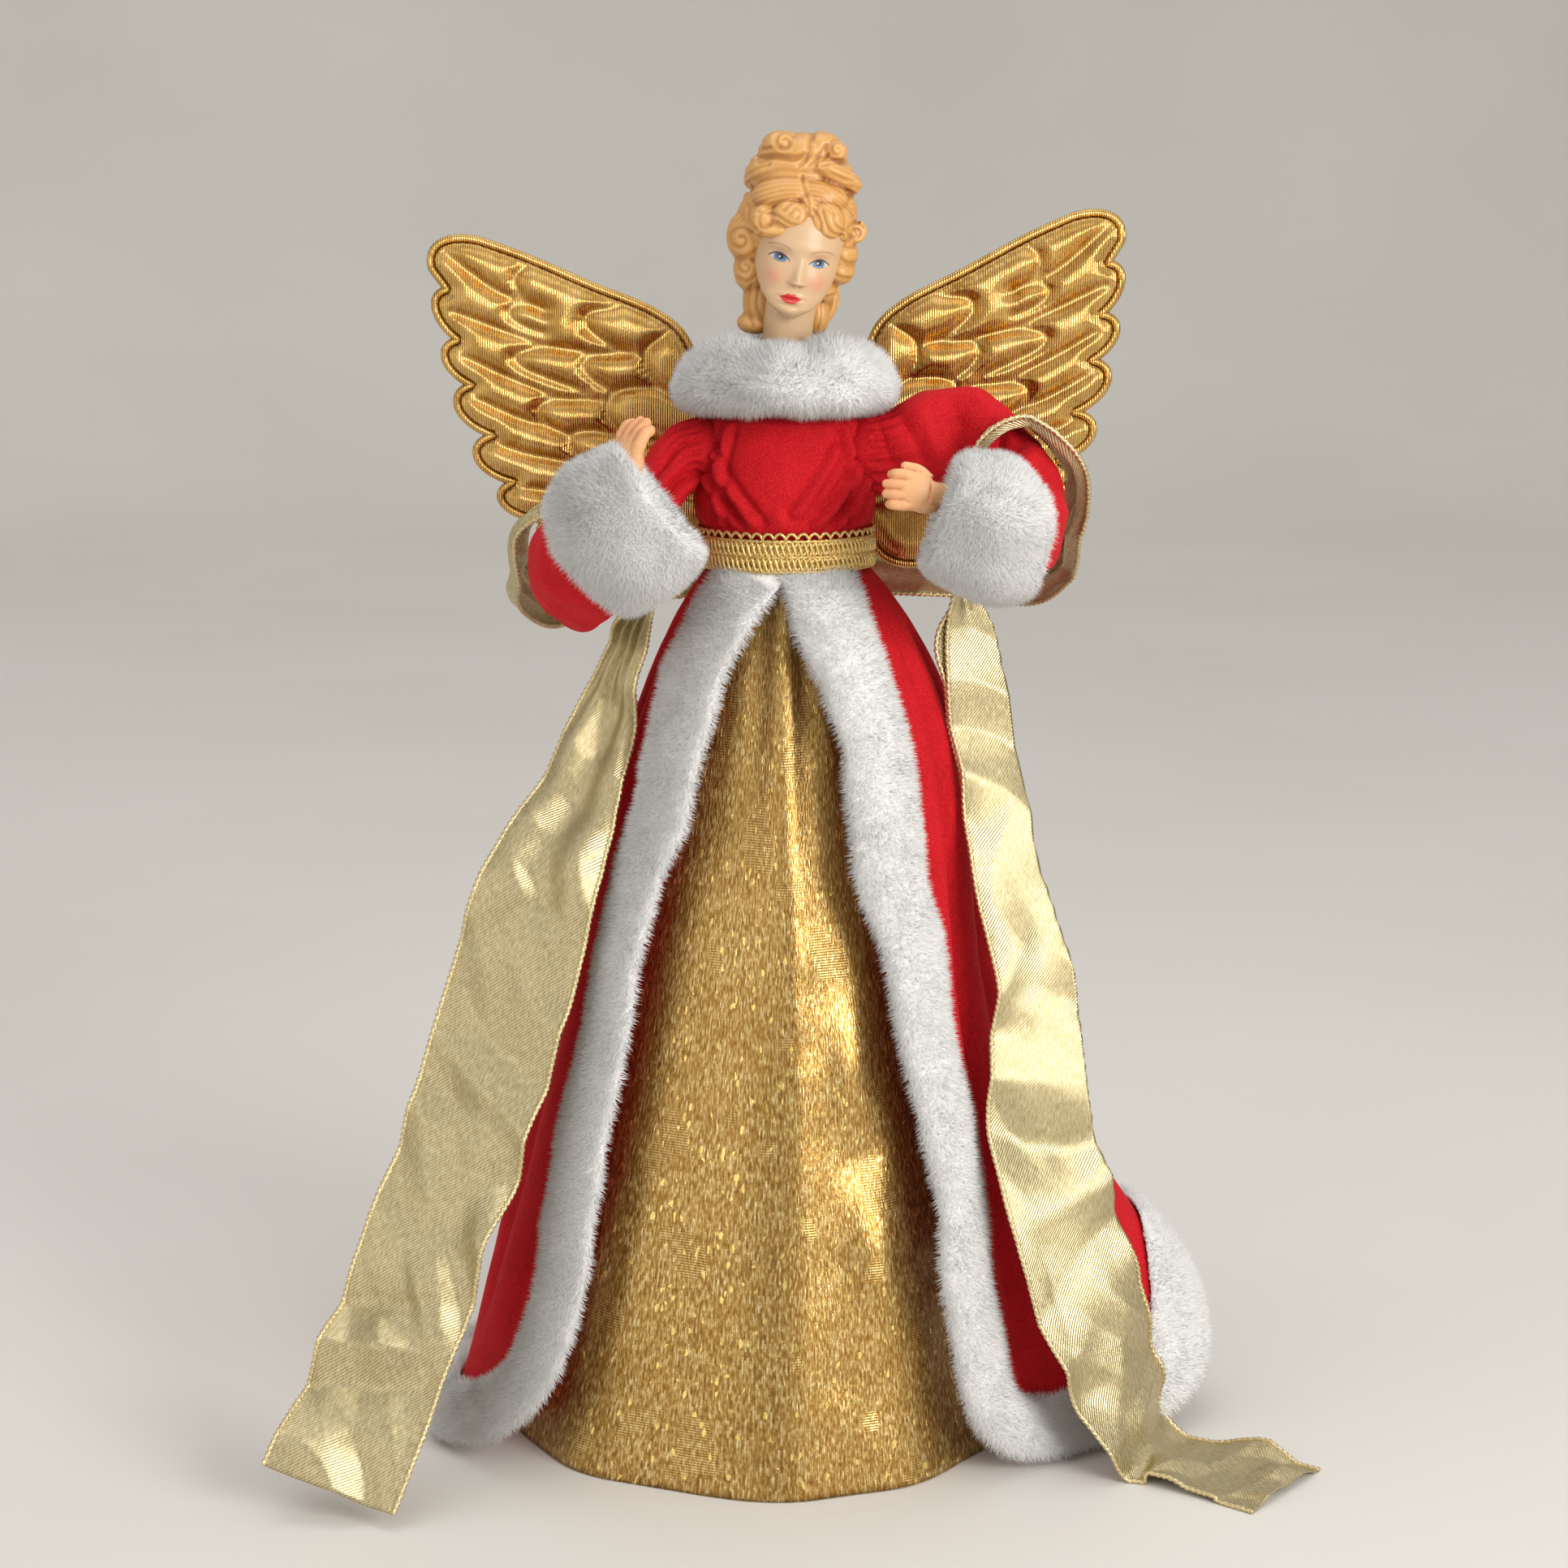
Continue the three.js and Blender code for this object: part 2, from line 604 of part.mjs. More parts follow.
// Arms. Each sleeve passes through stations: place, direction, up, then half height and half depth.
// Places are from the sleeve's root on its own side: x outwards, y backwards and z upwards.
const sleeveRootSize = [sleeveRootRadius, sleeveRootRadius];
const sleeveLeft = [
  { at: [0, 0, 0], to: [1, 0, 0], up: [0, 0, 1], size: sleeveRootSize },
  { at: [7.6, 0, 0.5], to: [1, 0, 0.05], up: [0, 0, 1], size: [13, 13] },
  { at: [19.6, 0, 2.5], to: [1, -0.05, 0.05], up: [0, 0, 1], size: [17, 13.5] },
  { at: [32.6, -1, 2], to: [0.97, -0.2, -0.12], up: [0, 0, 1], size: [17.5, 12.5] },
  { at: [43.6, -6, -5], to: [0.8, -0.55, -0.25], up: [0, 0, 1], size: [15.5, 11.5] },
  { at: [49.6, -18, -14], to: [0.05, -0.98, -0.2], up: [0, 0, 1], size: [17, 12] },
  { at: [44, -32, -19.5], to: [-0.75, -0.66, 0], up: [0, 0, 1], size: [17, 13] },
  { at: [35, -38.5, -18], to: [-0.92, -0.32, 0.2], up: [0.2, 0, 1], size: [16, 13.5] },
  { at: [25.6, -40, -14.5], to: [-0.94, 0, 0.33], up: [0.33, 0, 0.94], size: [14.5, 13.5] },
];
const sleeveRight = [
  { at: [0, 0, 0], to: [1, 0, 0], up: [0, 0, 1], size: sleeveRootSize },
  { at: [6.5, -0.5, -1.5], to: [0.85, -0.1, -0.5], up: [0.5, 0, 0.85], size: [11, 12] },
  { at: [13.5, -4, -9], to: [0.55, -0.3, -0.78], up: [0.8, 0, 0.55], size: [9, 13] },
  { at: [20, -11, -21], to: [0.55, -0.45, -0.7], up: [0.8, 0.1, 0.6], size: [9.5, 13] },
  { at: [30, -20, -31], to: [0.7, -0.6, -0.4], up: [0.7, 0.1, 0.75], size: [12.5, 12.5] },
  { at: [39.5, -33, -35], to: [0.2, -0.95, 0.1], up: [0.66, 0, 0.75], size: [15.5, 12] },
  { at: [34, -48, -27], to: [-0.6, -0.55, 0.5], up: [0.66, 0, 0.75], size: [17, 13] },
  { at: [24.1, -54.5, -17.6], to: [-0.75, -0.25, 0.6], up: [0.64, 0, 0.77], size: [18, 13.5] },
  { at: [14.9, -56, -11], to: [-0.78, 0, 0.62], up: [0.62, 0, 0.78], size: [17.5, 13] },
];

// A place from a sleeve's root, in the part's frame. The sign is 1 on the figure's left and -1 on its right.
function fromRoot(sign, [x, y, z]) {
  return [sign * (sleeveRootX + x), y, shoulderZ + z];
}

function mirrored(sign, [x, y, z]) {
  return [sign * x, y, z];
}

// A curve through one property of the stations.
function through(stations, pick) {
  return new THREE.CatmullRomCurve3(stations.map((s) => vec(...pick(s))), false, "centripetal");
}

function sleeveSurface(sign, stations) {
  const places = through(stations, (s) => fromRoot(sign, s.at));
  const aims = through(stations, (s) => mirrored(sign, s.to));
  const ups = through(stations, (s) => mirrored(sign, s.up));
  const sizes = through(stations, (s) => [...s.size, 0]);
  return (u, v, out) => {
    const aim = aims.getPoint(v).normalize();
    const side = aim.clone().cross(ups.getPoint(v)).normalize();
    const up = side.clone().cross(aim);
    const size = sizes.getPoint(v);
    const turn = u * 2 * Math.PI;
    const fold = sleeveFoldDepth * v * Math.cos(sleeveFolds * turn) + out;
    return places
      .getPoint(v)
      .addScaledVector(up, Math.cos(turn) * (size.x + fold))
      .addScaledVector(side, Math.sin(turn) * (size.y + fold));
  };
}

const cuffStart = 1 - cuffRows / sleeveRows;

// The cuff's thickness: full in its middle and thin at its edges.
function cuffOut(share) {
  return cuffThickness * (0.35 + 0.65 * Math.sin(Math.PI * share));
}

// A hand in its own frame: wrist at the origin, fingers along +Z, palm towards -Y.
function handShape(thumbSide) {
  const knuckles = handLength * 0.45;
  const palm = ellipsoid(palmHalfWidth, palmHalfDepth, handLength * 0.32, 0, 0, handLength * 0.42, 8, 6);
  const stem = bar(vec(0, 0, -wristLength), vec(0, 0, handLength * 0.3), wristRadius, 8);
  const shapes = [stem, palm];
  const fingers = 4;
  for (let i = 0; i < fingers; i++) {
    const x = (i - (fingers - 1) / 2) * fingerPitch;
    const reach = handLength * (0.98 - 0.07 * Math.abs(i - 1.4));
    const finger = new THREE.CapsuleGeometry(fingerRadius, reach - knuckles, 1, 6);
    finger.rotateX(Math.PI / 2).translate(x, -0.4, (reach + knuckles) / 2);
    shapes.push(finger);
  }
  const thumb = new THREE.CapsuleGeometry(thumbRadius, thumbLength, 1, 6).rotateX(Math.PI / 2);
  shapes.push(thumb.rotateY(thumbSide * 0.6).translate(thumbSide * palmHalfWidth, -0.8, handLength * 0.44));
  return joined(shapes);
}

// One arm: sleeve, cuff, wire and hand. The wire ends straight in the wrist, along the hand.
function addArm(side, sign, stations, wireMiddle, hand) {
  const surface = sleeveSurface(sign, stations);
  const outside = (u, v) => surface(u, v, 0);
  const inside = (u, v) => surface(u, v, -sleeveWall);
  addPiece("sleeve_" + side, shell(outside, inside, sleeveColumns, sleeveRows, true), velvet);
  const cuffAt = (v) => mix(cuffStart, 1, v);
  const furOutside = (u, v) => surface(u, cuffAt(v), seatGap + cuffOut(v));
  const furInside = (u, v) => surface(u, cuffAt(v), seatGap);
  addPiece("cuff_" + side, shell(furOutside, furInside, sleeveColumns, cuffRows, true), fur);

  const wrist = vec(...fromRoot(sign, hand.wrist));
  const fingers = vec(...mirrored(sign, hand.fingers)).normalize();
  const palm = vec(...mirrored(sign, hand.palm));
  palm.addScaledVector(fingers, -palm.dot(fingers)).normalize();
  const back = palm.clone().negate();
  const frame = new THREE.Matrix4().makeBasis(back.clone().cross(fingers), back, fingers).setPosition(wrist);
  const boreEnd = wireInHand + turnGap;
  const bore = bar(vec(0, 0, -wristLength - cutReach), vec(0, 0, boreEnd), wireRadius + seatGap, 8);
  const shape = handShape(-sign).subtract(solid(bore));
  addPiece("hand_" + side, geometryOf(shape).applyMatrix4(frame), resin);

  const route = [vec(sign * wireInset, 0, shoulderZ), vec((sign * chestHalfWidth) / 2, 0, shoulderZ)];
  route.push(...wireMiddle.map((place) => vec(...fromRoot(sign, place))));
  route.push(...[-20, -12, -6, 0, wireInHand].map((s) => wrist.clone().addScaledVector(fingers, s)));
  const circle = new THREE.Shape().absarc(0, 0, wireRadius, 0, 2 * Math.PI);
  const path = new THREE.CatmullRomCurve3(route);
  const tube = new THREE.ExtrudeGeometry(circle, { extrudePath: path, steps: 32, curveSegments: 3 });
  addPiece("arm_wire_" + side, closed(tube), wireMetal);
}

const wireRoot = [[0, 0, 0], [6, 0, 0]];
addArm("left", 1, sleeveLeft, [...wireRoot, [22.6, 0, 2], [36.6, -4, -2]], {
  wrist: [21.6, -41, -8],
  fingers: [-0.98, -0.05, 0.12],
  palm: [0, 1, -0.25],
});
addArm("right", -1, sleeveRight, [...wireRoot, [13.5, -4, -9], [20, -11, -21], [31, -22, -31]], {
  wrist: [22.1, -56, -3.3],
  fingers: [-0.36, 0.05, 0.93],
  palm: [-0.75, 0.5, -0.2],
});

// Wings. The outline of one wing runs from the root along the top edge to the tip, then down past the
// feather tips. Its points are from the middle of the root. Each scallop is a curve between two notches.
const wingTop = [[11.5, 19], [15.5, 32], [20, 43], [28, 50], [46, 59.3], [65.3, 69.7], [79, 76]];
const wingTip = [[87, 78.6], [95.5, 77.5], [94.5, 69]];
const wingNotches = [[90.1, 61.8], [88.2, 46.2], [85.4, 32], [80.4, 16], [75.5, 1], [66, -12], [51, -20.5]];
const scallopReach = [7, 8, 9, 10, 8.5, 6.5];
const wingFoot = [[43, -31], [27, -35], [20, -27]];
const wingFootEnd = [[15, -20], [13, -13]];
const wingRootOpening = 60; // degrees of the root's arc on each side of the wing

function wingOutline() {
  const shape = new THREE.Shape();
  const opening = wingRootOpening * degrees;
  shape.moveTo(wingRootRadius * Math.cos(opening), wingRootRadius * Math.sin(opening));
  shape.splineThru(wingTop.map(([x, z]) => new THREE.Vector2(x, z)));
  shape.bezierCurveTo(...wingTip[0], ...wingTip[1], ...wingTip[2]);
  shape.lineTo(...wingNotches[0]);
  for (let i = 1; i < wingNotches.length; i++) {
    const [x0, z0] = wingNotches[i - 1];
    const [x1, z1] = wingNotches[i];
    const reach = scallopReach[i - 1];
    const fall = i / wingNotches.length;
    shape.bezierCurveTo(x0 + reach, z0 - 3 * fall, x0 + reach * 0.8, mix(z0, z1, 0.6) - 4 * fall, x1, z1);
  }
  shape.bezierCurveTo(...wingFoot[0], ...wingFoot[1], ...wingFoot[2]);
  shape.quadraticCurveTo(...wingFootEnd[0], ...wingFootEnd[1]);
  shape.absarc(0, 0, wingRootRadius, -opening, opening, true);
  return shape;
}

const bodiceBack = chestHalfDepth + seatGap + bodiceChestThickness;
const wingPadBack = bodiceBack + wingPlaneGap;
const backingFront = wingPadBack + seatGap;
const wingBack = backingFront + wingBackingThickness;

// The outline drawn in by a distance, as [x, z] points.
function drawnIn(outline, distance) {
  const points = outline.getPoints(3);
  if (points[0].distanceTo(points[points.length - 1]) < 1e-6) points.pop();
  return points.map((p, i) => {
    const before = points[(i + points.length - 1) % points.length];
    const after = points[(i + 1) % points.length];
    const inward = new THREE.Vector2(after.y - before.y, before.x - after.x).normalize();
    return p.clone().addScaledVector(inward, distance);
  });
}

// A flat plate of the outline between two depths.
function plate(points, front, back) {
  const depth = back - front;
  const geometry = new THREE.ExtrudeGeometry(new THREE.Shape(points), { depth, bevelEnabled: false });
  return geometry.rotateX(Math.PI / 2).translate(0, back, 0);
}

// Feathers as swellings of the padded face: root and tip in the wing's plane
const feathers = [
  [[49, 50], [88, 70]],
  [[47, 43], [87, 53]],
  [[45, 35], [85, 38]],
  [[43, 27], [81, 22]],
  [[39, 18], [77, 6]],
  [[35, 9], [69, -7]],
  [[29, 0], [55, -16]],
  [[21, -4], [35, -24]],
  [[27, 43], [59, 59]],
  [[23, 32], [51, 40]],
  [[15, 16], [41, 24]],
  [[11, 4], [33, 6]],
];
const featherOverhang = 4; // how far a swelling runs past its two points

function featherPad([[x0, z0], [x1, z1]]) {
  const length = Math.hypot(x1 - x0, z1 - z0) / 2 + featherOverhang;
  const drop = ellipsoid(length, featherThickness, featherHalfWidth, 0, 0, 0, 8, 6);
  return drop.rotateY(-Math.atan2(z1 - z0, x1 - x0)).translate((x0 + x1) / 2, wingPadBack, (z0 + z1) / 2);
}

function addWing(side, sign, droop) {
  const outline = wingOutline();
  const inner = drawnIn(outline, weltRadius + seatGap);
  const padBase = solid(plate(inner, wingPadBack - wingPadBase, wingPadBack));
  const limits = solid(plate(inner, wingPadBack - featherThickness - wingPadBase, wingPadBack));
  const pads = joined(feathers.map(featherPad)).intersect(limits).add(padBase);
  const backing = plate(inner, backingFront, wingBack);
  const weltMiddle = wingPadBack;
  const edge = drawnIn(outline, 0);
  const welt = edge.map((p, i) => {
    const before = edge[(i + edge.length - 1) % edge.length];
    const after = edge[(i + 1) % edge.length];
    const out = vec(before.y - after.y, 0, after.x - before.x).normalize();
    const ring = [];
    for (let k = 0; k < weltSides; k++) {
      const turn = (k / weltSides) * 2 * Math.PI;
      const point = vec(p.x, weltMiddle + weltRadius * Math.sin(turn), p.y);
      ring.push(point.addScaledVector(out, weltRadius * Math.cos(turn)));
    }
    return ring;
  });
  const place = new THREE.Matrix4().makeRotationY(droop * degrees);
  place.premultiply(new THREE.Matrix4().makeTranslation(wingRootX, 0, wingZ));
  place.premultiply(new THREE.Matrix4().makeScale(sign, 1, 1));
  addPiece("wing_" + side, closed(geometryOf(pads).applyMatrix4(place)), lame);
  addPiece("wing_backing_" + side, closed(backing.applyMatrix4(place)), lame);
  addPiece("wing_welt_" + side, closed(loft(welt, true).applyMatrix4(place)), braid);
}

addWing("left", 1, wingDroopLeft);
addWing("right", -1, wingDroopRight);

// Spine strip: sewn to the bodice's back, and the wings' padded faces are stitched to it
const spineFront = bodiceBack + seatGap;
const spineBack = wingPadBack - wingPadBase - seatGap;
const spineShape = new THREE.Shape();
spineShape.absellipse(0, 0, spineHalfWidth, spineHeight / 2, 0, 2 * Math.PI);
const spinePlate = plate(spineShape.getPoints(10), spineFront, spineBack);
addPiece("wing_spine", closed(spinePlate.translate(0, 0, wingZ)), velvet);

// Sash: one ribbon from tail to tail, behind the back and over both elbows.
// Each station has its middle, the direction of its width and that width, which is gathered at the elbows.
// Behind the back a place is x from the middle, y from the wings and z from the shoulder.
const sashBackLeft = [
  { back: [34, 1, -35.3], wide: [0, 0.1, 1], width: 28 },
  { back: [62, -5, -38.3], wide: [0, 0.1, 1], width: 24 },
  { back: [78, -18, -37.3], wide: [0, 0.2, 1], width: 18 },
];
const sashMiddle = { back: [0, 0, -34.3], wide: [0, 0, 1], width: 30 };
const sashBackRight = [
  { back: [34, 1, -36.3], wide: [0, 0.1, 1], width: 28 },
  { back: [62, -5, -42.3], wide: [0, 0.1, 1], width: 24 },
  { back: [74, -18, -45.3], wide: [0, 0.2, 1], width: 18 },
];
// Over an arm a place is from the sleeve's root.
const sashArmLeft = [
  { arm: [64.5, 14, -25.3], wide: [-0.2, 0.5, 0.85], width: 16 },
  { arm: [65, -2, -9.3], wide: [-0.3, 0.75, 0.6], width: 15 },
  { arm: [59.5, -13, 2.7], wide: [-0.35, 0.93, 0.1], width: 14 },
  { arm: [49, -14, 11.7], wide: [0, 1, 0], width: 12 },
  { arm: [37.6, -17, 6.7], wide: [0.1, 1, 0], width: 6 },
  { arm: [31.6, -16.4, -6.3], wide: [0.1, 1, 0], width: 4 },
  { arm: [30.6, -16.2, -22.3], wide: [0.1, 1, 0], width: 4 },
  { arm: [32.6, -15, -44.3], wide: [0.7, 0.7, 0], width: 9 },
];
const sashArmRight = [
  { arm: [58, 14, -40.3], wide: [-0.2, 0.5, 0.85], width: 16 },
  { arm: [57.5, -4, -30.3], wide: [-0.3, 0.75, 0.6], width: 15 },
  { arm: [54.6, -16, -19.3], wide: [-0.35, 0.93, 0.1], width: 12 },
  { arm: [47.5, -24, -14.3], wide: [0, 1, 0], width: 9 },
  { arm: [37, -30.5, -11.3], wide: [0.25, 0.95, 0], width: 5 },
  { arm: [25.5, -31, -16.3], wide: [0.9, 0.3, 0], width: 4 },
  { arm: [18.5, -35.8, -34.3], wide: [0.95, 0.2, 0], width: 5 },
];
// Down a tail a place is the angle round the robe, the distance off its cloth and the share of its height.
const sashTailLeft = [
  { tail: [76, 16.5, 0.869], wide: [0.9, 0.42, 0], width: 20 },
  { tail: [75, 14, 0.781], wide: [0.92, 0.38, 0.05], width: 20 },
  { tail: [68, 16.2, 0.657], wide: [0.95, 0.3, 0], width: 22 },
  { tail: [64.5, 21.8, 0.547], wide: [0.95, 0.3, -0.05], width: 26 },
  { tail: [60.5, 19.8, 0.394], wide: [0.92, 0.38, 0], width: 34 },
  { tail: [61.5, 26, 0.201], wide: [0.8, 0.6, 0], width: 40 },
  { tail: [66, 23.5, 0.062], wide: [0.6, 0.8, 0], width: 41 },
  { tail: [68.2, 22.5, 0.018], wide: [0.5, 0.86, 0], width: 41 },
  { tail: [67.2, 41.7, 0.0075], wide: [0.55, 0.83, 0], width: 41 },
  { tail: [65, 69.4, 0.0045], wide: [0.715, 0.7, 0], width: 41 },
];
const sashTailRight = [
  { tail: [66, 15, 0.912], wide: [0.7, 0.7, 0], width: 12 },
  { tail: [72, 11.3, 0.839], wide: [0.9, 0.42, 0], width: 20 },
  { tail: [67, 15.3, 0.755], wide: [0.92, 0.38, 0], width: 28 },
  { tail: [61.5, 25.3, 0.657], wide: [0.9, 0.3, 0.2], width: 36 },
  { tail: [61.7, 28.5, 0.529], wide: [0.92, 0.35, 0.1], width: 40 },
  { tail: [60.5, 35.3, 0.391], wide: [0.9, 0.4, 0.1], width: 40 },
  { tail: [59, 45, 0.255], wide: [0.88, 0.4, 0.15], width: 40 },
  { tail: [56.5, 56.3, 0.139], wide: [0.88, 0.35, 0.25], width: 40 },
  { tail: [53.2, 71.5, 0.038], wide: [0.88, 0.25, 0.36], width: 41 },
];

function sashPlace(sign, station) {
  if (station.arm) return fromRoot(sign, station.arm);
  if (station.back) {
    const [x, y, z] = station.back;
    return [sign * x, wingBack + sashBehindWings + y, shoulderZ + z];
  }
  const [angle, off, share] = station.tail;
  return robePoint(sign * angle, share * robeTop, off).toArray();
}

// The stations of one side, from the back to the tail's end, as place, width direction and width.
function sashSide(sign, stations) {
  return stations.map((s) => ({ at: sashPlace(sign, s), wide: mirrored(sign, s.wide), width: s.width }));
}

function sashRings() {
  const right = sashSide(-1, [...sashBackRight, ...sashArmRight, ...sashTailRight]);
  const left = sashSide(1, [sashMiddle, ...sashBackLeft, ...sashArmLeft, ...sashTailLeft]);
  const stations = [...right.reverse(), ...left];
  const places = through(stations, (s) => s.at);
  const wides = through(stations, (s) => s.wide);
  const widths = through(stations, (s) => [s.width, 0, 0]);
  const steps = stations.length * 2;
  const rings = [];
  for (let j = 0; j <= steps; j++) {
    const t = j / steps;
    const run = places.getTangent(t);
    const wide = wides.getPoint(t).normalize();
    const face = run.clone().cross(wide).normalize();
    const across = face.clone().cross(run).multiplyScalar(widths.getPoint(t).x / 2);
    const half = face.multiplyScalar(sashThickness / 2);
    const corners = [[-1, -1], [1, -1], [1, 1], [-1, 1]];
    const corner = ([a, b]) => places.getPoint(t).addScaledVector(across, a).addScaledVector(half, b);
    rings.push(corners.map(corner));
  }
  return rings;
}

addPiece("sash", loft(sashRings()), lame);

export default topper;
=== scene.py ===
"""The looks of an angel tree topper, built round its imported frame.

Shapes are worked out in millimetres in the part's frame: the figure faces -Y and +X is its left.
"""

import math

import bmesh
import bpy
import numpy as np
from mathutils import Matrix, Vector, geometry


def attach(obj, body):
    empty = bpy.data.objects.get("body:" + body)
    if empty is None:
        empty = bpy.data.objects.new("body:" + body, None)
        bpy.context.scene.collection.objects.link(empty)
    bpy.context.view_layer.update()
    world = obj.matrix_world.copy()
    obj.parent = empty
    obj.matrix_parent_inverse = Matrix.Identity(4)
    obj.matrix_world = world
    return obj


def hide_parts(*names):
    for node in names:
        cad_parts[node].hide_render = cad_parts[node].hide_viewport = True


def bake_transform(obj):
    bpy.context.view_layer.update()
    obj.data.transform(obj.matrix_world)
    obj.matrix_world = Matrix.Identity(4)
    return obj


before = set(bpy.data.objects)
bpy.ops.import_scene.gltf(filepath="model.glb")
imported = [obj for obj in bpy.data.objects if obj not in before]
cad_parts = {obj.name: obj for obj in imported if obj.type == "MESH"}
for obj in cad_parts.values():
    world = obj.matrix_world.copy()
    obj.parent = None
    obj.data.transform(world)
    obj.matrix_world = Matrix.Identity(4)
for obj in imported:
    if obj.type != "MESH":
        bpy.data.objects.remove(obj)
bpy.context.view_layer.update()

MM = 0.001

# Sizes of the looks in mm and degrees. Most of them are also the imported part's

# Gaps between pieces
SEAT_GAP = 0.3
TRIM_GAP = 0.9

# Torso, bodice and belt
WAIST_HALF_WIDTH = 20
WAIST_HALF_DEPTH = 18
TORSO_WIDTHS = [(262.3, 20), (274.3, 20), (298.3, 22.5), (316.3, 20), (322.3, 12)]
TORSO_DEPTHS = [(262.3, 18), (274.3, 18), (298.3, 19), (316.3, 15), (322.3, 10.5)]
BODICE_BOTTOM = 274.3
BODICE_TOP = 319.8
BODICE_THICKNESS = [(274.3, 2.2), (290.3, 5), (306.3, 5), (319.8, 3.2)]
BODICE_RADIUS = 24
ARMHOLE_RADIUS = 12.4
ARMHOLE_SIDE = 12
BELT_BOTTOM = 272.8
BELT_TOP = 284.8
BELT_HALF_WIDTH = 25.9
BELT_HALF_DEPTH = 23.2

# Sleeves and hands. Starts and ends are shares of the sleeve's length
SHOULDER_Z = 306.3
SLEEVE_ROOT_X = 23.4
SLEEVE_TUCK = 7
SLEEVE_WALL = 1.2
SLEEVE_END = 0.965
SLEEVE_FOLDS = 5
SLEEVE_FOLD_DEPTH = 0.8
CUFF_START_LEFT = 0.76
CUFF_START_RIGHT = 0.79
CUFF_THICKNESS = 7
HAND_LENGTH = 17
FINGER_PITCH = 2.85

# Underskirt
SKIRT_TOP = 273.2
SKIRT_CLOTH = 0.8
SKIRT_HEM_LEFT = 69
SKIRT_HEM_RIGHT = 86
SKIRT_HEM_FRONT = 70
SKIRT_HEM_BACK = 69
SKIRT_FOLDS = 9
SKIRT_FOLD_DEPTH = 1.1
SKIRT_WEAVE_RADIUS = 45

# Robe, with the train on the figure's left
ROBE_TOP = 274.0
ROBE_CLEAR = 2.6
ROBE_CLOTH = 1.0
ROBE_OFF_WAIST = 2.4
ROBE_HEM_LEFT = 82
ROBE_HEM_RIGHT = 98
ROBE_HEM_FRONT = 77
ROBE_HEM_BACK = 80
ROBE_HEM_RADIUS = 90
ROBE_FRONT_RADIUS = 85
ROBE_FLARE_SHARE_LEFT = 0.35
ROBE_FLARE_SHARE_RIGHT = 0.22
ROBE_FLARE_RATE = 10
ROBE_FOLDS = 10
ROBE_FOLD_DEPTH = 4
ROBE_EDGE_START = 30.9
ROBE_EDGE_SPREAD_LEFT = 22
ROBE_EDGE_SPREAD_RIGHT = 29
TRAIN_REACH = 84
TRAIN_ANGLE = 104
TRAIN_WIDTH = 30
TRAIN_LIFT = 46
TRAIN_LIFT_ANGLE = 110
TRAIN_LIFT_WIDTH = 22

# Fur bands and collar. The hem's band is given without its pile
TRIM_WIDTH = 24
TRIM_THICKNESS = 8
TRIM_TOP = 276
HEM_BAND = 17
CORNER_RIGHT = 44
CORNER_LEFT = 22
COLLAR_RADIUS = 23
COLLAR_HALF_WIDTH = 11.4
COLLAR_HALF_HEIGHT = 12.2
COLLAR_Z = 331.3

# Wings and their spine
WING_ROOT = (9.05, 300.1)
WING_ROOT_RADIUS = 7.6
WING_PAD_BACK = 32.3
WING_BACKING_GAP = 0.3
WING_WELT_RADIUS = 1.35
SPINE_HALF_WIDTH = 7
SPINE_HALF_DEPTH = 2.6
SPINE_HALF_HEIGHT = 15
SPINE_Y = 27.3

# Sash
SASH_WIDTH = 40
SASH_HALF_THICKNESS = 0.15
SASH_FLOOR = 0.7


# Numbers and curves


def mix(a, b, share):
    return a + (b - a) * share


def ease(share):
    share = np.clip(share, 0, 1)
    return share * share * (3 - 2 * share)


def bump_at(place, middle, width):
    return np.exp(-(((place - middle) / width) ** 2))


def unit(vectors):
    return vectors / np.maximum(np.linalg.norm(vectors, axis=-1, keepdims=True), 1e-9)


def along(pairs, place):
    """Values eased between (place, value) pairs."""
    places = np.array([p for p, _ in pairs], float)
    values = np.array([v for _, v in pairs], float)
    place = np.asarray(place, float)
    span = np.clip(np.searchsorted(places, place, side="right") - 1, 0, len(places) - 2)
    share = ease((place - places[span]) / (places[span + 1] - places[span]))
    return mix(values[span], values[span + 1], share)


def through(values, share):
    """A smooth curve through the values, at shares of the way. Every span takes an equal share."""
    knots = np.array(values, float)
    knots = np.vstack([2 * knots[0] - knots[1], knots, 2 * knots[-1] - knots[-2]])
    spans = len(values) - 1
    place = np.clip(np.asarray(share, float), 0, 1) * spans
    span = np.minimum(place.astype(int), spans - 1)
    t = (place - span)[:, None]
    a, b, c, d = (knots[span + k] for k in range(4))

    def knot_gap(p, q):
        return (((p - q) ** 2).sum(1, keepdims=True)) ** 0.25

    gap = knot_gap(b, c)
    gap = np.where(gap < 1e-4, 1.0, gap)
    before = knot_gap(a, b)
    before = np.where(before < 1e-4, gap, before)
    after = knot_gap(c, d)
    after = np.where(after < 1e-4, gap, after)
    leave = ((b - a) / before - (c - a) / (before + gap) + (c - b) / gap) * gap
    arrive = ((c - b) / gap - (d - b) / (gap + after) + (d - c) / after) * gap
    square = -3 * b + 3 * c - 2 * leave - arrive
    cube = 2 * b - 2 * c + leave + arrive
    return b + leave * t + square * t**2 + cube * t**3


def curve(points, count):
    return through(points, np.linspace(0, 1, count))


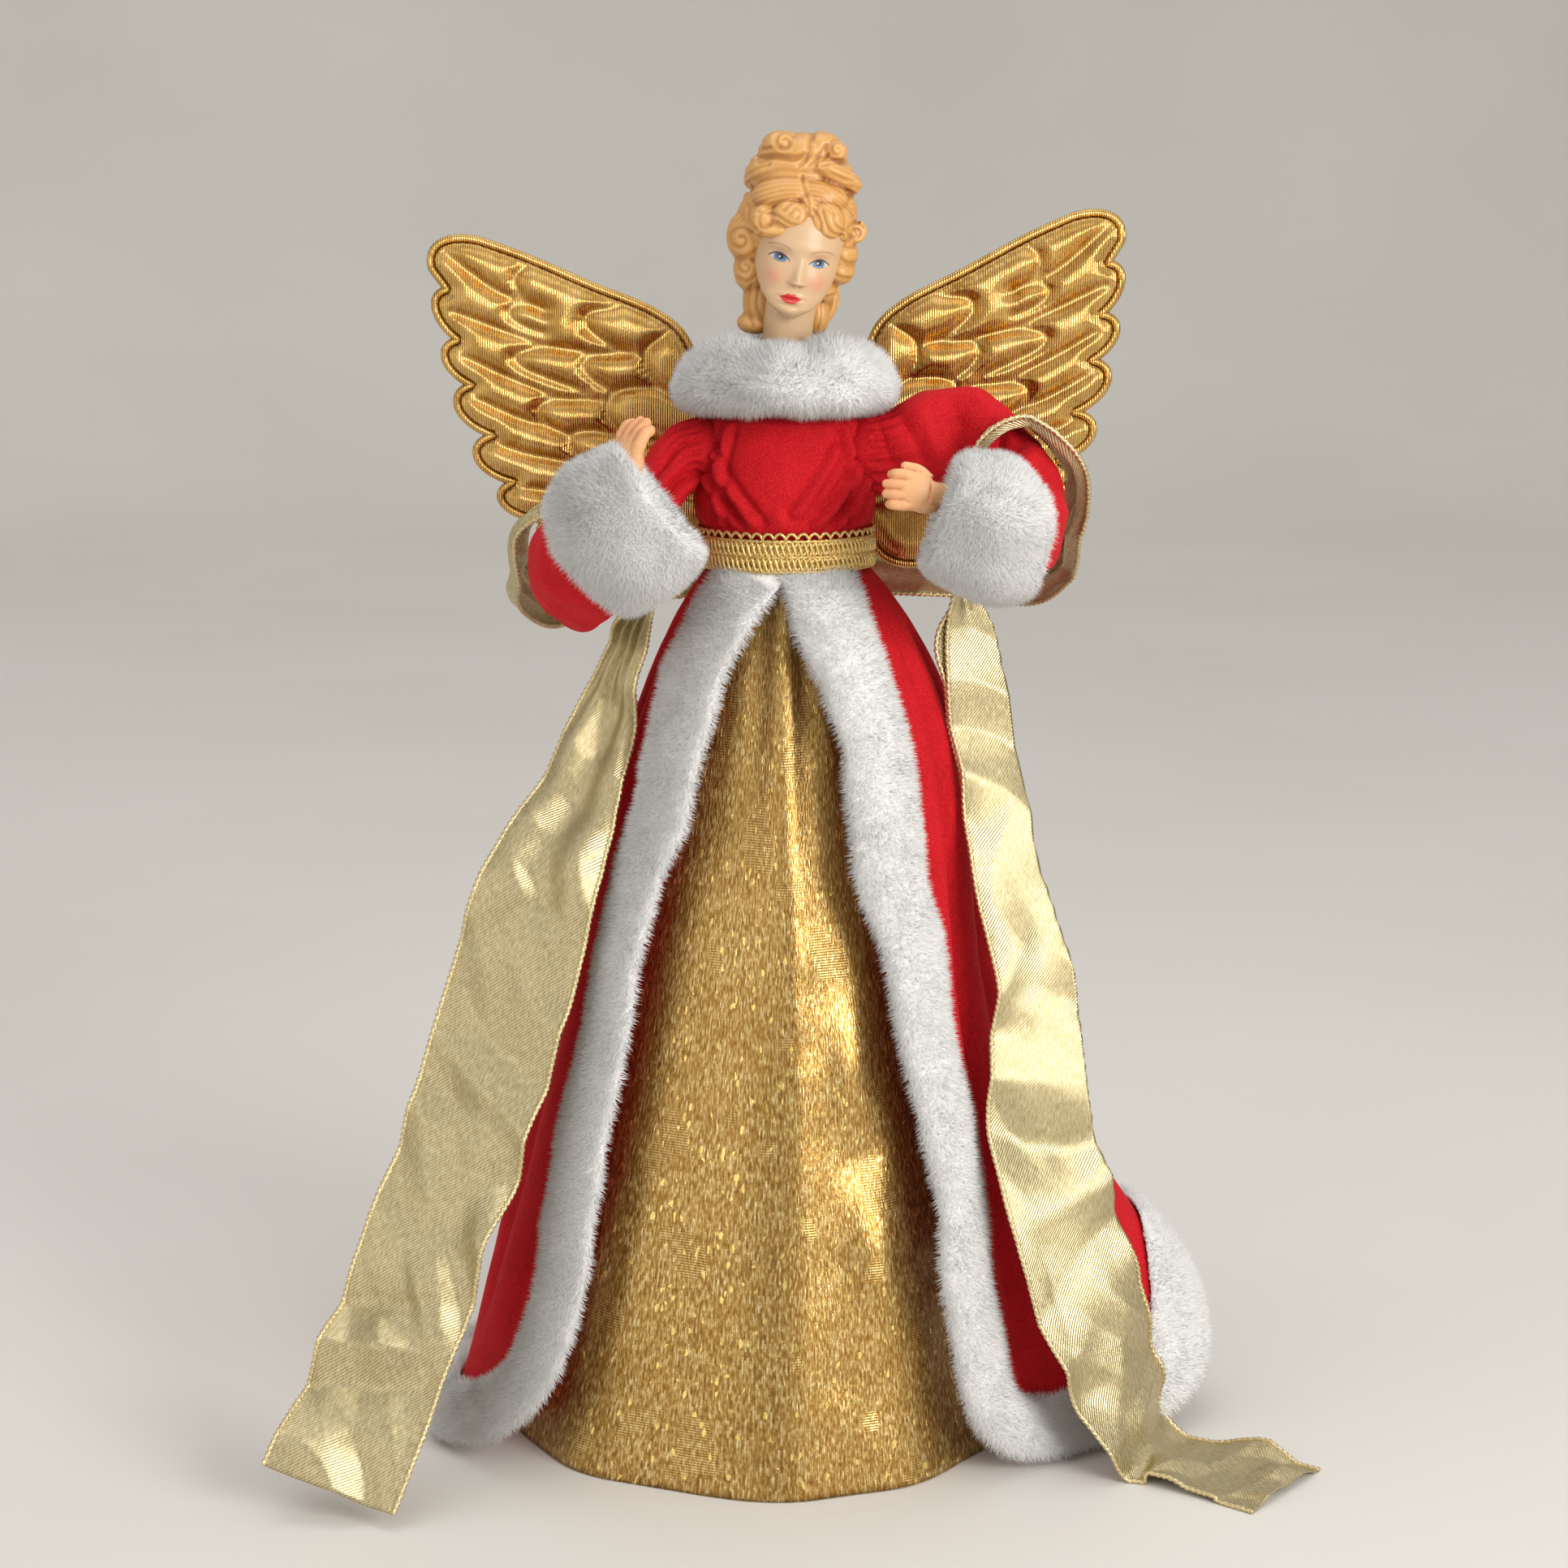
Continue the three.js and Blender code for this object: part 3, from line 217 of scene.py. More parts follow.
def noise(points, size, seed):
    """Smooth noise from -1 to 1, with features about size mm across."""
    place = np.asarray(points, float) / size + seed * 7.31
    cell = np.floor(place).astype(np.int64)
    share = ease(place - cell)
    total = np.zeros(place.shape[:-1])
    for corner in range(8):
        step = np.array([corner & 1, corner >> 1 & 1, corner >> 2 & 1])
        key = ((cell + step) * np.array([374761393, 668265263, 1274126177])).sum(-1) + seed * 974711
        key = (key ^ (key >> 13)) * 1103515245
        value = ((key ^ (key >> 16)) & 0xFFFF) / 32767.5 - 1
        total += value * np.where(step == 1, share, 1 - share).prod(-1)
    return total


def full_turn(count):
    return np.linspace(0, 2 * math.pi, count, endpoint=False)


def stacked(*values):
    """Points from their separate values, with each spread over the shape of all."""
    return np.stack(np.broadcast_arrays(*values), -1)


def oval(half_width, half_depth, turn, z):
    """A point at an angle round the figure, from its front towards its left."""
    return stacked(half_width * np.sin(turn), -half_depth * np.cos(turn), z)


def outward_of(points):
    """Level directions away from the figure's axis."""
    return unit(points * np.array([1, 1, 0]))


# Meshes


def grid_ids(rows, columns, wrap):
    ids = np.arange(rows * columns).reshape(rows, columns)
    return np.concatenate([ids, ids[:, :1]], 1) if wrap else ids


def quads(ids):
    return np.stack([ids[:-1, :-1], ids[:-1, 1:], ids[1:, 1:], ids[1:, :-1]], -1).reshape(-1, 4)


def shell(outer, inner, wrap=False):
    """A thin closed piece between two grids of points."""
    rows, columns = outer.shape[:2]
    front = grid_ids(rows, columns, wrap)
    back = front + rows * columns
    faces = [quads(front), quads(back)[:, ::-1]]
    faces.append(quads(np.stack([back[0], front[0]])))
    faces.append(quads(np.stack([front[-1], back[-1]])))
    if not wrap:
        faces.append(quads(np.stack([front[:, 0], back[:, 0]])))
        faces.append(quads(np.stack([back[:, -1], front[:, -1]])))
    return np.concatenate([outer.reshape(-1, 3), inner.reshape(-1, 3)]), [np.concatenate(faces)]


def loft(rings, closed=False):
    """A solid through rings of points, with flat ends, or one that runs back into itself."""
    rows, columns = rings.shape[:2]
    ids = grid_ids(rows, columns, True)
    if closed:
        return rings.reshape(-1, 3), [quads(np.concatenate([ids, ids[:1]]))]
    points = np.concatenate([rings.reshape(-1, 3), rings[:1].mean(1), rings[-1:].mean(1)])
    first = rows * columns
    start = np.stack([ids[0, 1:], ids[0, :-1], np.full(columns, first)], -1)
    end = np.stack([ids[-1, :-1], ids[-1, 1:], np.full(columns, first + 1)], -1)
    return points, [quads(ids), np.concatenate([start, end])]


def tube(path, radius, sides=10, closed=False, lobes=0, depth=0.0, twist=0.0):
    """A tube along a path. Lobes with a twist give it the look of strands laid together."""
    path = np.asarray(path, float)
    if closed:
        run = unit(np.roll(path, -1, 0) - np.roll(path, 1, 0))
    else:
        run = unit(np.gradient(path, axis=0))
    guess = np.array([0, 0, 1.0]) if abs(run[0][2]) < 0.9 else np.array([1.0, 0, 0])
    side = np.empty_like(run)
    last = np.cross(run[0], guess)
    for i, ahead in enumerate(run):
        last = unit(last - ahead * (last @ ahead))
        side[i] = last
    other = np.cross(run, side)
    turn = full_turn(sides)
    row = np.arange(len(path))[:, None]
    size = np.broadcast_to(radius, len(path))[:, None] * (1 + depth * np.cos(lobes * turn + twist * row))
    ring = np.cos(turn)[None, :, None] * side[:, None] + np.sin(turn)[None, :, None] * other[:, None]
    return loft(path[:, None] + size[..., None] * ring, closed)


def ball(centre, sizes, rows=24, columns=32):
    rise = np.linspace(-0.5, 0.5, rows)[1:-1, None] * math.pi
    turn = full_turn(columns)[None]
    sphere = stacked(np.cos(rise) * np.cos(turn), np.cos(rise) * np.sin(turn), np.sin(rise))
    return loft(sphere * np.array(sizes, float) + np.array(centre, float))


def together(shapes):
    """Several shapes as one."""
    points, faces, count = [], [], 0
    for some_points, some_faces in shapes:
        points.append(some_points)
        faces += [f + count for f in some_faces]
        count += len(some_points)
    return np.concatenate(points), faces


def mesh_of(name, shape, outward=True):
    points, faces = shape
    mesh = bpy.data.meshes.new(name)
    corners = np.concatenate([f.ravel() for f in faces]).astype(np.int32)
    sides = np.concatenate([np.full(len(f), f.shape[1]) for f in faces])
    starts = np.concatenate([[0], np.cumsum(sides)[:-1]]).astype(np.int32)
    mesh.vertices.add(len(points))
    mesh.vertices.foreach_set("co", (points * MM).astype(np.float32).ravel())
    mesh.loops.add(len(corners))
    mesh.loops.foreach_set("vertex_index", corners)
    mesh.polygons.add(len(sides))
    mesh.polygons.foreach_set("loop_start", starts)
    mesh.update(calc_edges=True)
    if outward:
        work = bmesh.new()
        work.from_mesh(mesh)
        bmesh.ops.recalc_face_normals(work, faces=work.faces)
        work.to_mesh(mesh)
        work.free()
    mesh.polygons.foreach_set("use_smooth", np.ones(len(mesh.polygons), bool))
    return mesh


def add(name, shape, materials, body=None, node=None, outward=True):
    """Adds a piece that rides on a body, and stands for a node of the part."""
    obj = bpy.data.objects.new(name, mesh_of(name, shape, outward))
    bpy.context.scene.collection.objects.link(obj)
    for material in materials if isinstance(materials, list) else [materials]:
        obj.data.materials.append(material)
    if body:
        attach(obj, body)
    if node:
        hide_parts(node)
    return obj


def fused(shape, voxel, rounds):
    """One smooth skin round shapes that overlap."""
    obj = add("fusing", shape, [])
    remesh = obj.modifiers.new("fuse", "REMESH")
    remesh.mode = "VOXEL"
    remesh.voxel_size = voxel * MM
    smooth = obj.modifiers.new("ease", "SMOOTH")
    smooth.factor = 0.5
    smooth.iterations = rounds
    mesh = bpy.data.meshes.new_from_object(obj.evaluated_get(bpy.context.evaluated_depsgraph_get()))
    points = np.empty(len(mesh.vertices) * 3, np.float32)
    mesh.vertices.foreach_get("co", points)
    corners = np.empty(len(mesh.loops), np.int32)
    mesh.loops.foreach_get("vertex_index", corners)
    bpy.data.objects.remove(obj)
    bpy.data.meshes.remove(mesh)
    return points.reshape(-1, 3).astype(float) / MM, [corners.reshape(-1, 4)]


def skin_normals(shape):
    mesh = mesh_of("normals", shape)
    normals = np.empty(len(shape[0]) * 3, np.float32)
    mesh.vertex_normals.foreach_get("vector", normals)
    bpy.data.meshes.remove(mesh)
    return normals.reshape(-1, 3)


def hollows(shape, rounds=3):
    """How far each point of a skin lies below its neighbours, in mm: above 0 in grooves."""
    points, faces = shape
    edges = np.concatenate([np.stack([f, np.roll(f, -1, 1)], -1).reshape(-1, 2) for f in faces])
    count = np.bincount(edges[:, 0], minlength=len(points))[:, None]
    smooth = points.copy()
    for _ in range(rounds):
        around = smooth[edges[:, 1]]
        total = [np.bincount(edges[:, 0], around[:, k], len(points)) for k in range(3)]
        smooth = np.stack(total, -1) / count
    return ((smooth - points) * skin_normals(shape)).sum(1)


def carved(shape, grooves):
    """A skin with grooves cut into its front, each a depth, a width and a line across and up.

    All of them are cut shallower and wider by the same shares.
    """
    shallower, wider = 0.62, 1.25
    points, faces = shape
    normals = skin_normals(shape)
    facing = np.clip(0.35 - 1.5 * normals[:, 1], 0, 1)
    places = points[:, [0, 2]]
    cut = np.zeros(len(points))
    for depth, width, line in grooves:
        depth, width = shallower * depth, wider * width
        path = evenly(curve(line, 60), 0.25)
        reach = 2.5 * width
        near = ((places > path.min(0) - reach) & (places < path.max(0) + reach)).all(1) & (facing > 0)
        gap = np.min([np.linalg.norm(places[near] - p, axis=1) for p in path], axis=0)
        cut[near] = np.maximum(cut[near], depth * np.exp(-((gap / width) ** 2)))
    return points - normals * (cut * facing)[:, None], faces


def paint(obj, colours):
    layer = obj.data.attributes.new("paint", "FLOAT_COLOR", "POINT")
    full = np.concatenate([colours, np.ones((len(colours), 1))], 1)
    layer.data.foreach_set("color", full.astype(np.float32).ravel())


def lay_weave(obj, across, up):
    """A map of the cloth in mm for its weave."""
    layer = obj.data.uv_layers.new(name="weave")
    corners = np.empty(len(obj.data.loops), np.int32)
    obj.data.loops.foreach_get("vertex_index", corners)
    layer.data.foreach_set("uv", np.stack([across, up], -1)[corners].astype(np.float32).ravel())


# Materials


def linear(red, green, blue):
    """A colour given from 0 to 255 as on a screen."""
    shares = np.array([red, green, blue]) / 255
    return np.where(shares <= 0.04045, shares / 12.92, ((shares + 0.055) / 1.055) ** 2.4)


def rgba(*screen):
    return (*linear(*screen), 1)


def grey(level):
    return (level, level, level, 1)


def colour_of(value):
    """A shader's colour from one given as on a screen, or from a grey level from 0 to 1."""
    return rgba(*value) if isinstance(value, tuple) else grey(value)


class Finish:
    """A material with its Principled shader, and short ways to add nodes to it."""

    def __init__(self, name, roughness, **settings):
        self.material = bpy.data.materials.new(name)
        self.material.use_nodes = True
        self.tree = self.material.node_tree
        self.shader = self.tree.nodes["Principled BSDF"]
        self.set(Roughness=roughness, **settings)

    def put(self, value, socket):
        if isinstance(value, bpy.types.NodeSocket):
            self.tree.links.new(value, socket)
        else:
            socket.default_value = value

    def set(self, **values):
        for key, value in values.items():
            self.put(value, self.shader.inputs[key.replace("_", " ")])

    def node(self, kind, settings=None, **values):
        made = self.tree.nodes.new("ShaderNode" + kind)
        for key, value in (settings or {}).items():
            setattr(made, key, value)
        for key, value in values.items():
            self.put(value, made.inputs[key.replace("_", " ")])
        return made

    def place(self):
        return self.node("TexCoord").outputs["Object"]

    def weave(self):
        return self.node("UVMap", {"uv_map": "weave"}).outputs["UV"]

    def stretched(self, place, scale):
        return self.node("Mapping", Vector=place, Scale=scale).outputs["Vector"]

    def noise(self, place, size, detail=2.0):
        """Noise with features of a size in the units of the place."""
        return self.node("TexNoise", Vector=place, Scale=1 / size, Detail=detail).outputs[0]

    def ramp(self, value, *stops):
        made = self.node("ValToRGB")
        elements = made.color_ramp.elements
        while len(elements) < len(stops):
            elements.new(0.5)
        for element, (place, colour) in zip(elements, stops):
            element.position = place
            element.color = colour_of(colour)
        self.put(value, made.inputs[0])
        return made.outputs[0]

    def blend(self, share, a, b, kind="MIX"):
        made = self.node("Mix", {"data_type": "RGBA", "blend_type": kind})
        self.put(share, made.inputs[0])
        self.put(a, made.inputs[6])
        self.put(b, made.inputs[7])
        return made.outputs[2]

    def relief(self, height, distance, under=None):
        """Bumps of a height in metres."""
        made = self.node("Bump", Height=height, Distance=distance, Strength=1.0)
        if under:
            self.put(under, made.inputs["Normal"])
        self.set(Normal=made.outputs["Normal"])
        return made.outputs["Normal"]


def velvet_finish():
    """Red velvet: a fine pile in knitted ribs, with patches where the nap lies another way."""
    m = Finish("velvet", 0.75, Sheen_Weight=0.18, Sheen_Roughness=0.4, Sheen_Tint=rgba(255, 70, 70))
    place = m.place()
    pile = m.noise(place, 0.0006, 3)
    nap = m.noise(place, 0.009, 3)
    tone = m.ramp(nap, (0.35, (186, 6, 20)), (0.65, (199, 10, 26)))
    hairs = m.ramp(pile, (0.35, (124, 3, 12)), (0.65, (230, 40, 50)))
    m.set(Base_Color=m.blend(0.3, tone, hairs))
    m.set(Specular_IOR_Level=0.2)
    m.relief(pile, 0.0004)
    return m.material


def fur_skin_finish():
    """The backing under the pile: white and felted."""
    m = Finish("fur_skin", 0.9, Sheen_Weight=0.3)
    fuzz = m.noise(m.place(), 0.0008, 4)
    m.set(Base_Color=m.ramp(fuzz, (0.3, (244, 243, 241)), (0.7, (253, 252, 251))))
    m.relief(fuzz, 0.0006)
    return m.material


def fur_tones():
    """Four whites. Each hair of the pile gets one of them."""
    tones = [(244, 243, 241), (238, 237, 235), (249, 248, 247), (230, 229, 227)]
    return [Finish(f"fur_{i}", 0.75, Base_Color=rgba(*t), Specular_IOR_Level=0.15).material
            for i, t in enumerate(tones)]


def brocade_finish():
    """Gold brocade: short upright metal threads with bright dashes, and faint leaves of fine cross ribs."""
    m = Finish("brocade", 0.34, Metallic=0.9)
    cloth = m.weave()
    upright = m.node("Mapping", Vector=cloth, Rotation=(0, 0, math.pi / 2)).outputs["Vector"]
    floats = m.node("TexBrick", {"offset": 0.37, "squash": 1.0}, Vector=upright, Color1=grey(0.1),
                    Color2=grey(0.9), Mortar=grey(0.2), Scale=1.0, Mortar_Size=0.05, Mortar_Smooth=0.5,
                    Brick_Width=2.6, Row_Height=0.42)
    dashes = m.noise(m.stretched(cloth, (1.0, 0.2, 1.0)), 0.45, 2)
    bright = m.ramp(dashes, (0.3, 0), (0.7, 1))
    threads = m.blend(0.5, floats.outputs["Color"], bright)
    ribs = m.node("TexWave", {"bands_direction": "Y"}, Vector=cloth, Scale=0.4, Distortion=0.5)
    figure = m.noise(m.stretched(cloth, (1.0, 0.6, 1.0)), 17.0, 1)
    leaf = m.ramp(figure, (0.60, 0), (0.63, 0.6))
    ribbed = m.blend(0.4, ribs.outputs["Color"], bright)
    thread = m.blend(leaf, threads, ribbed)
    gold = m.ramp(thread, (0.1, (126, 90, 42)), (0.42, (174, 136, 72)), (0.66, (214, 184, 120)),
                  (0.92, (252, 238, 188)))
    patches = m.noise(cloth, 24.0, 2)
    gold = m.blend(m.ramp(patches, (0.35, 0.22), (0.65, 0)), gold, rgba(150, 104, 40))
    cells = m.node("TexVoronoi", Vector=m.stretched(cloth, (1.0, 0.34, 1.0)), Scale=1.7)
    fleck = m.ramp(cells.outputs["Color"], (0.86, 0), (0.88, 1))
    m.set(Base_Color=m.blend(fleck, gold, rgba(255, 226, 134)))
    m.set(Roughness=m.ramp(fleck, (0.0, 0.31), (1.0, 0.18)))
    m.relief(m.blend(0.3, thread, cells.outputs["Color"]), 0.0002)
    return m.material


def lame_finish():
    """Gold lame of the wings: smooth bright metal cloth with a fine upright knit."""
    m = Finish("lame", 0.24, Metallic=1.0)
    place = m.place()
    knit = m.node("TexWave", {"bands_direction": "X"}, Vector=place, Scale=440.0, Distortion=1.0)
    knit.inputs["Detail Scale"].default_value = 3.0
    crinkle = m.noise(m.stretched(place, (1.0, 1.0, 0.5)), 0.005, 3)
    tone = m.ramp(crinkle, (0.3, (190, 146, 76)), (0.7, (214, 176, 108)))
    m.set(Base_Color=m.blend(0.4, tone, knit.outputs["Color"], "OVERLAY"))
    m.set(Roughness=m.ramp(crinkle, (0.2, 0.2), (0.8, 0.3)))
    under = m.relief(crinkle, 0.0002)
    m.relief(knit.outputs[1], 0.0001, under)
    return m.material


def ribbon_finish():
    """Champagne metal ribbon with a fine slanting weave."""
    m = Finish("ribbon", 0.4, Metallic=0.85)
    cloth = m.weave()
    twill = m.node("TexWave", {"bands_direction": "DIAGONAL"}, Vector=cloth, Scale=0.55, Distortion=0.4)
    grain = m.noise(m.stretched(cloth, (1.0, 0.25, 1.0)), 0.6, 3)
    tone = m.ramp(grain, (0.25, (166, 150, 106)), (0.55, (196, 182, 142)), (0.85, (226, 216, 182)))
    m.set(Base_Color=m.blend(0.2, tone, twill.outputs["Color"], "OVERLAY"))
    m.set(Roughness=m.ramp(grain, (0.2, 0.28), (0.8, 0.42)))
    m.relief(m.blend(0.5, twill.outputs["Color"], grain), 0.00016)
    return m.material


def braid_finish(name, dark, light):
    """Wrapped metal thread."""
    m = Finish(name, 0.32, Metallic=0.9)
    wrap = m.noise(m.place(), 0.00045, 2)
    m.set(Base_Color=m.ramp(wrap, (0.3, dark), (0.7, light)))
    m.relief(wrap, 0.0003)
    return m.material


def painted_finish(name, roughness):
    """Painted resin: its colours are on the mesh, with faint brush marks."""
    m = Finish(name, roughness, Coat_Weight=0.15, Coat_Roughness=0.3)
    colour = m.node("Attribute", {"attribute_name": "paint"}).outputs["Color"]
    brush = m.noise(m.stretched(m.place(), (1.0, 1.0, 0.35)), 0.0007, 3)
    marks = m.ramp(brush, (0.3, 0.35), (0.7, 0.65))
    m.set(Base_Color=m.blend(0.12, colour, marks, "SOFT_LIGHT"))
    m.relief(brush, 0.00004)
    return m.material


def plain_finish(name, roughness, dark, light, size, depth, **settings):
    """A hidden or backing material with a grain of a size in metres."""
    m = Finish(name, roughness, **settings)
    grain = m.noise(m.place(), size, 4)
    m.set(Base_Color=m.ramp(grain, (0.3, dark), (0.7, light)))
    m.relief(grain, depth)
    return m.material


VELVET = velvet_finish()
FUR_SKIN = fur_skin_finish()
FUR_TONES = fur_tones()
BROCADE = brocade_finish()
LAME = lame_finish()
RIBBON = ribbon_finish()
BRAID = braid_finish("braid", (196, 154, 78), (252, 230, 160))
RIBBON_EDGE = braid_finish("ribbon_edge", (190, 166, 110), (246, 232, 190))
FACE = painted_finish("face_paint", 0.42)
HAIR = painted_finish("hair_paint", 0.38)
HANDS = painted_finish("hand_paint", 0.45)
CARD = plain_finish("card", 0.85, (176, 150, 112), (206, 182, 146), 0.0012, 0.0001)
FOAM = plain_finish("foam", 0.9, (226, 222, 212), (244, 242, 236), 0.002, 0.0004)
WOOD = plain_finish("wood", 0.6, (176, 132, 84), (208, 168, 118), 0.0015, 0.0001)
WIRE = plain_finish("wire", 0.35, (120, 120, 122), (170, 170, 172), 0.0006, 0.00003, Metallic=1.0)
FLOOR = plain_finish("floor", 0.8, (214, 211, 205), (220, 217, 212), 0.4, 0.0)


# Fur

# Hairs in a pile, and their length and thickness in mm
BAND_HAIRS = 56000
BAND_PILE = 3.3
CUFF_HAIRS = 60000
CUFF_PILE = 3.7
COLLAR_HAIRS = 64000
COLLAR_PILE = 3.9
HAIR_RADII = (0.1, 0.17)
# Shares of a pile's length
SHORTEST_HAIR = 0.48
HAIR_RANGE = 0.6
# Depth of the hairs' roots, and the lowest height that a hair reaches
PILE_SINK = 0.4
PILE_FLOOR = 0.3
# How far hairs lean: together in a tuft, each by itself, and down
TUFT_SIZE = 5
TUFT_LEAN = 0.24
STRAY_LEAN = 0.25
DROOP = np.array([0, 0, -0.25])
TONE_SHARES = [0.35, 0.3, 0.25, 0.1]


def strewn(surface, weights, count, rng):
    """Random places on a grid surface, thicker where the weights are higher, with their outward normals."""
    a, b, c, d = surface[:-1, :-1], surface[:-1, 1:], surface[1:, 1:], surface[1:, :-1]
    normal = np.cross(c - a, d - b)
    outward = ((surface.mean(1)[:-1, None] - a) * normal).sum() < 0
    normal = normal if outward else -normal
    area = (np.linalg.norm(normal, axis=-1) * weights).ravel()
    chosen = rng.choice(len(area), count, p=area / area.sum())
    s, t = rng.random((2, count, 1))
    a, b, c, d, normal = (g.reshape(-1, 3)[chosen] for g in (a, b, c, d, normal))
    return mix(mix(a, b, s), mix(d, c, s), t), unit(normal)


def add_pile(name, surface, weights, count, length, body, seed):
    """The pile of a fur piece: fine tapered hairs that lean together in tufts, shaded as one soft mass."""
    rng = np.random.default_rng(seed)
    root, normal = strewn(surface, weights, count, rng)
    tuft = np.stack([noise(root, TUFT_SIZE, seed + k) for k in range(3)], -1)
    stray = rng.normal(0, 1, (count, 3))
    uneven = 0.14 * noise(root, 7, seed + 5)[:, None]
    size = length * (SHORTEST_HAIR + HAIR_RANGE * rng.random((count, 1)) + uneven)
    lean = unit(normal + TUFT_LEAN * tuft + STRAY_LEAN * stray + DROOP)
    tip = root + lean * size
    side = unit(np.cross(lean, stray))
    turn = np.radians([0, 120, 240])[None, :, None]
    ring = np.cos(turn) * side[:, None] + np.sin(turn) * np.cross(lean, side)[:, None]
    foot = root - PILE_SINK * normal
    thick = rng.uniform(*HAIR_RADII, (count, 1, 1))
    points = np.concatenate([foot[:, None] + ring * thick, tip[:, None]], 1)
    points[..., 2] = np.maximum(points[..., 2], PILE_FLOOR)
    first_id = np.arange(count)[:, None] * 4
    walls = np.concatenate([first_id + np.array([k, (k + 1) % 3, 3]) for k in range(3)])
    obj = add(name, (points.reshape(-1, 3), [walls]), FUR_TONES, body, outward=False)
    tone = np.tile(rng.choice(4, count, p=TONE_SHARES), 3)
    obj.data.polygons.foreach_set("material_index", tone.astype(np.int32))
    shade = np.concatenate([unit(normal[:, None] + 0.3 * ring), unit(normal + 0.3 * lean)[:, None]], 1)
    obj.data.normals_split_custom_set_from_vertices(shade.reshape(-1, 3).tolist())
    return obj


def closed_rows(rings):
    return np.concatenate([rings, rings[:, :1]], 1)


# Skirt and robe


def skirt_point(turn, z):
    drop = (SKIRT_TOP - z) / SKIRT_TOP
    start = SEAT_GAP + SKIRT_CLOTH
    fold = SKIRT_FOLD_DEPTH * drop * np.cos(SKIRT_FOLDS * turn + 1)
    side = np.where(np.sin(turn) > 0, SKIRT_HEM_LEFT, SKIRT_HEM_RIGHT)
    face = np.where(np.cos(turn) > 0, SKIRT_HEM_FRONT, SKIRT_HEM_BACK)
    half_width = mix(WAIST_HALF_WIDTH + start, side, drop) + fold
    half_depth = mix(WAIST_HALF_DEPTH + start, face, drop) + fold
    return oval(half_width, half_depth, turn, z)


def add_skirt():
    """The brocade underskirt, with soft pleats from the waist and broad dents lower down."""
    turn = np.linspace(-math.pi, math.pi, 300, endpoint=False)[None]
    z = np.linspace(SKIRT_TOP, SEAT_GAP, 150)[:, None]
    drop = (SKIRT_TOP - z) / SKIRT_TOP
    still = skirt_point(turn, z)
    outward = outward_of(still)
    front = bump_at(turn, 0.05, 0.5)
    pleats = 1.1 * np.cos(13 * turn + 0.6) * bump_at(drop, 0.16, 0.16)
    off_ridge = np.sqrt((turn - 0.04 - 0.07 * drop) ** 2 + 0.005)
    ridge = 5.2 * np.exp(-off_ridge / 0.24) * bump_at(drop, 0.5, 0.46)
    dents = 1.5 * noise(still * np.array([1, 1, 0.4]), 26, 3) * np.minimum(1, 3 * drop)
    swell = 2.2 * bump_at(turn, 0.42, 0.14) * bump_at(z, 128, 15)
    swell = swell + 2.4 * bump_at(turn, 0.5, 0.14) * bump_at(z, 72, 17)
    swell = swell - 1.2 * bump_at(turn, 0.46, 0.12) * bump_at(z, 99, 8)
    lift = front * (pleats + ridge + dents) + swell + 0.25 * noise(still, 9, 4)
    outer = still + outward * np.maximum(lift, -SKIRT_CLOTH)[..., None]
    cloth = shell(outer, outer - outward * SKIRT_CLOTH, True)
    obj = add("underskirt_cloth", cloth, BROCADE, "figure", "underskirt")
    across = np.broadcast_to(turn * SKIRT_WEAVE_RADIUS, still.shape[:2]).ravel()
    up = np.broadcast_to(z, still.shape[:2]).ravel()
    lay_weave(obj, np.tile(across, 2), np.tile(up, 2))


def from_front(angle):
    """An angle round the robe, counted from the front to either side."""
    return np.where(angle < -180, angle + 360, angle)


def robe_point(angle, z, out=0.0):
    """The robe's outside at an angle in degrees from the front towards the figure's left."""
    drop = np.maximum((ROBE_TOP - z) / ROBE_TOP, 0)
    turn = np.radians(angle)
    leftward = from_front(angle)
    share = mix(ROBE_FLARE_SHARE_RIGHT, ROBE_FLARE_SHARE_LEFT, (np.sin(turn) + 1) / 2)
    spread = share * (1 - np.exp(-ROBE_FLARE_RATE * drop)) + (1 - share) * drop
    side = np.where(np.sin(turn) > 0, ROBE_HEM_LEFT, ROBE_HEM_RIGHT)
    face = np.where(np.cos(turn) > 0, ROBE_HEM_FRONT, ROBE_HEM_BACK)
    train = TRAIN_REACH * drop**3 * bump_at(leftward, TRAIN_ANGLE, TRAIN_WIDTH)
    edge = np.clip((np.abs(leftward) - 62) / 40, 0, 1)
    fold = ROBE_FOLD_DEPTH * edge * np.minimum(1, 1.6 * drop) * np.cos(ROBE_FOLDS * turn)
    half_width = mix(WAIST_HALF_WIDTH + ROBE_OFF_WAIST, side, spread) + fold + train + out
    half_depth = mix(WAIST_HALF_DEPTH + ROBE_OFF_WAIST, face, spread) + fold + 0.35 * train + out
    return oval(half_width, half_depth, turn, z)


def robe_edges(drop):
    """The angles of the robe's front edges: on the figure's right, then on its left by way of the back."""
    right = -(ROBE_EDGE_START + ROBE_EDGE_SPREAD_RIGHT * drop**0.6)
    left = ROBE_EDGE_START + ROBE_EDGE_SPREAD_LEFT * drop**0.9
    return right, left - 360


def robe_hem(angle):
    return ROBE_CLEAR + TRAIN_LIFT * bump_at(angle + 360, TRAIN_LIFT_ANGLE, TRAIN_LIFT_WIDTH)


def robe_flare(angle, z):
    """How far the robe's hem stands out on the figure's right."""
    drop = np.clip((ROBE_TOP - z) / ROBE_TOP, 0, 1)
    return 10 * drop**2 * bump_at(angle, -82, 36)


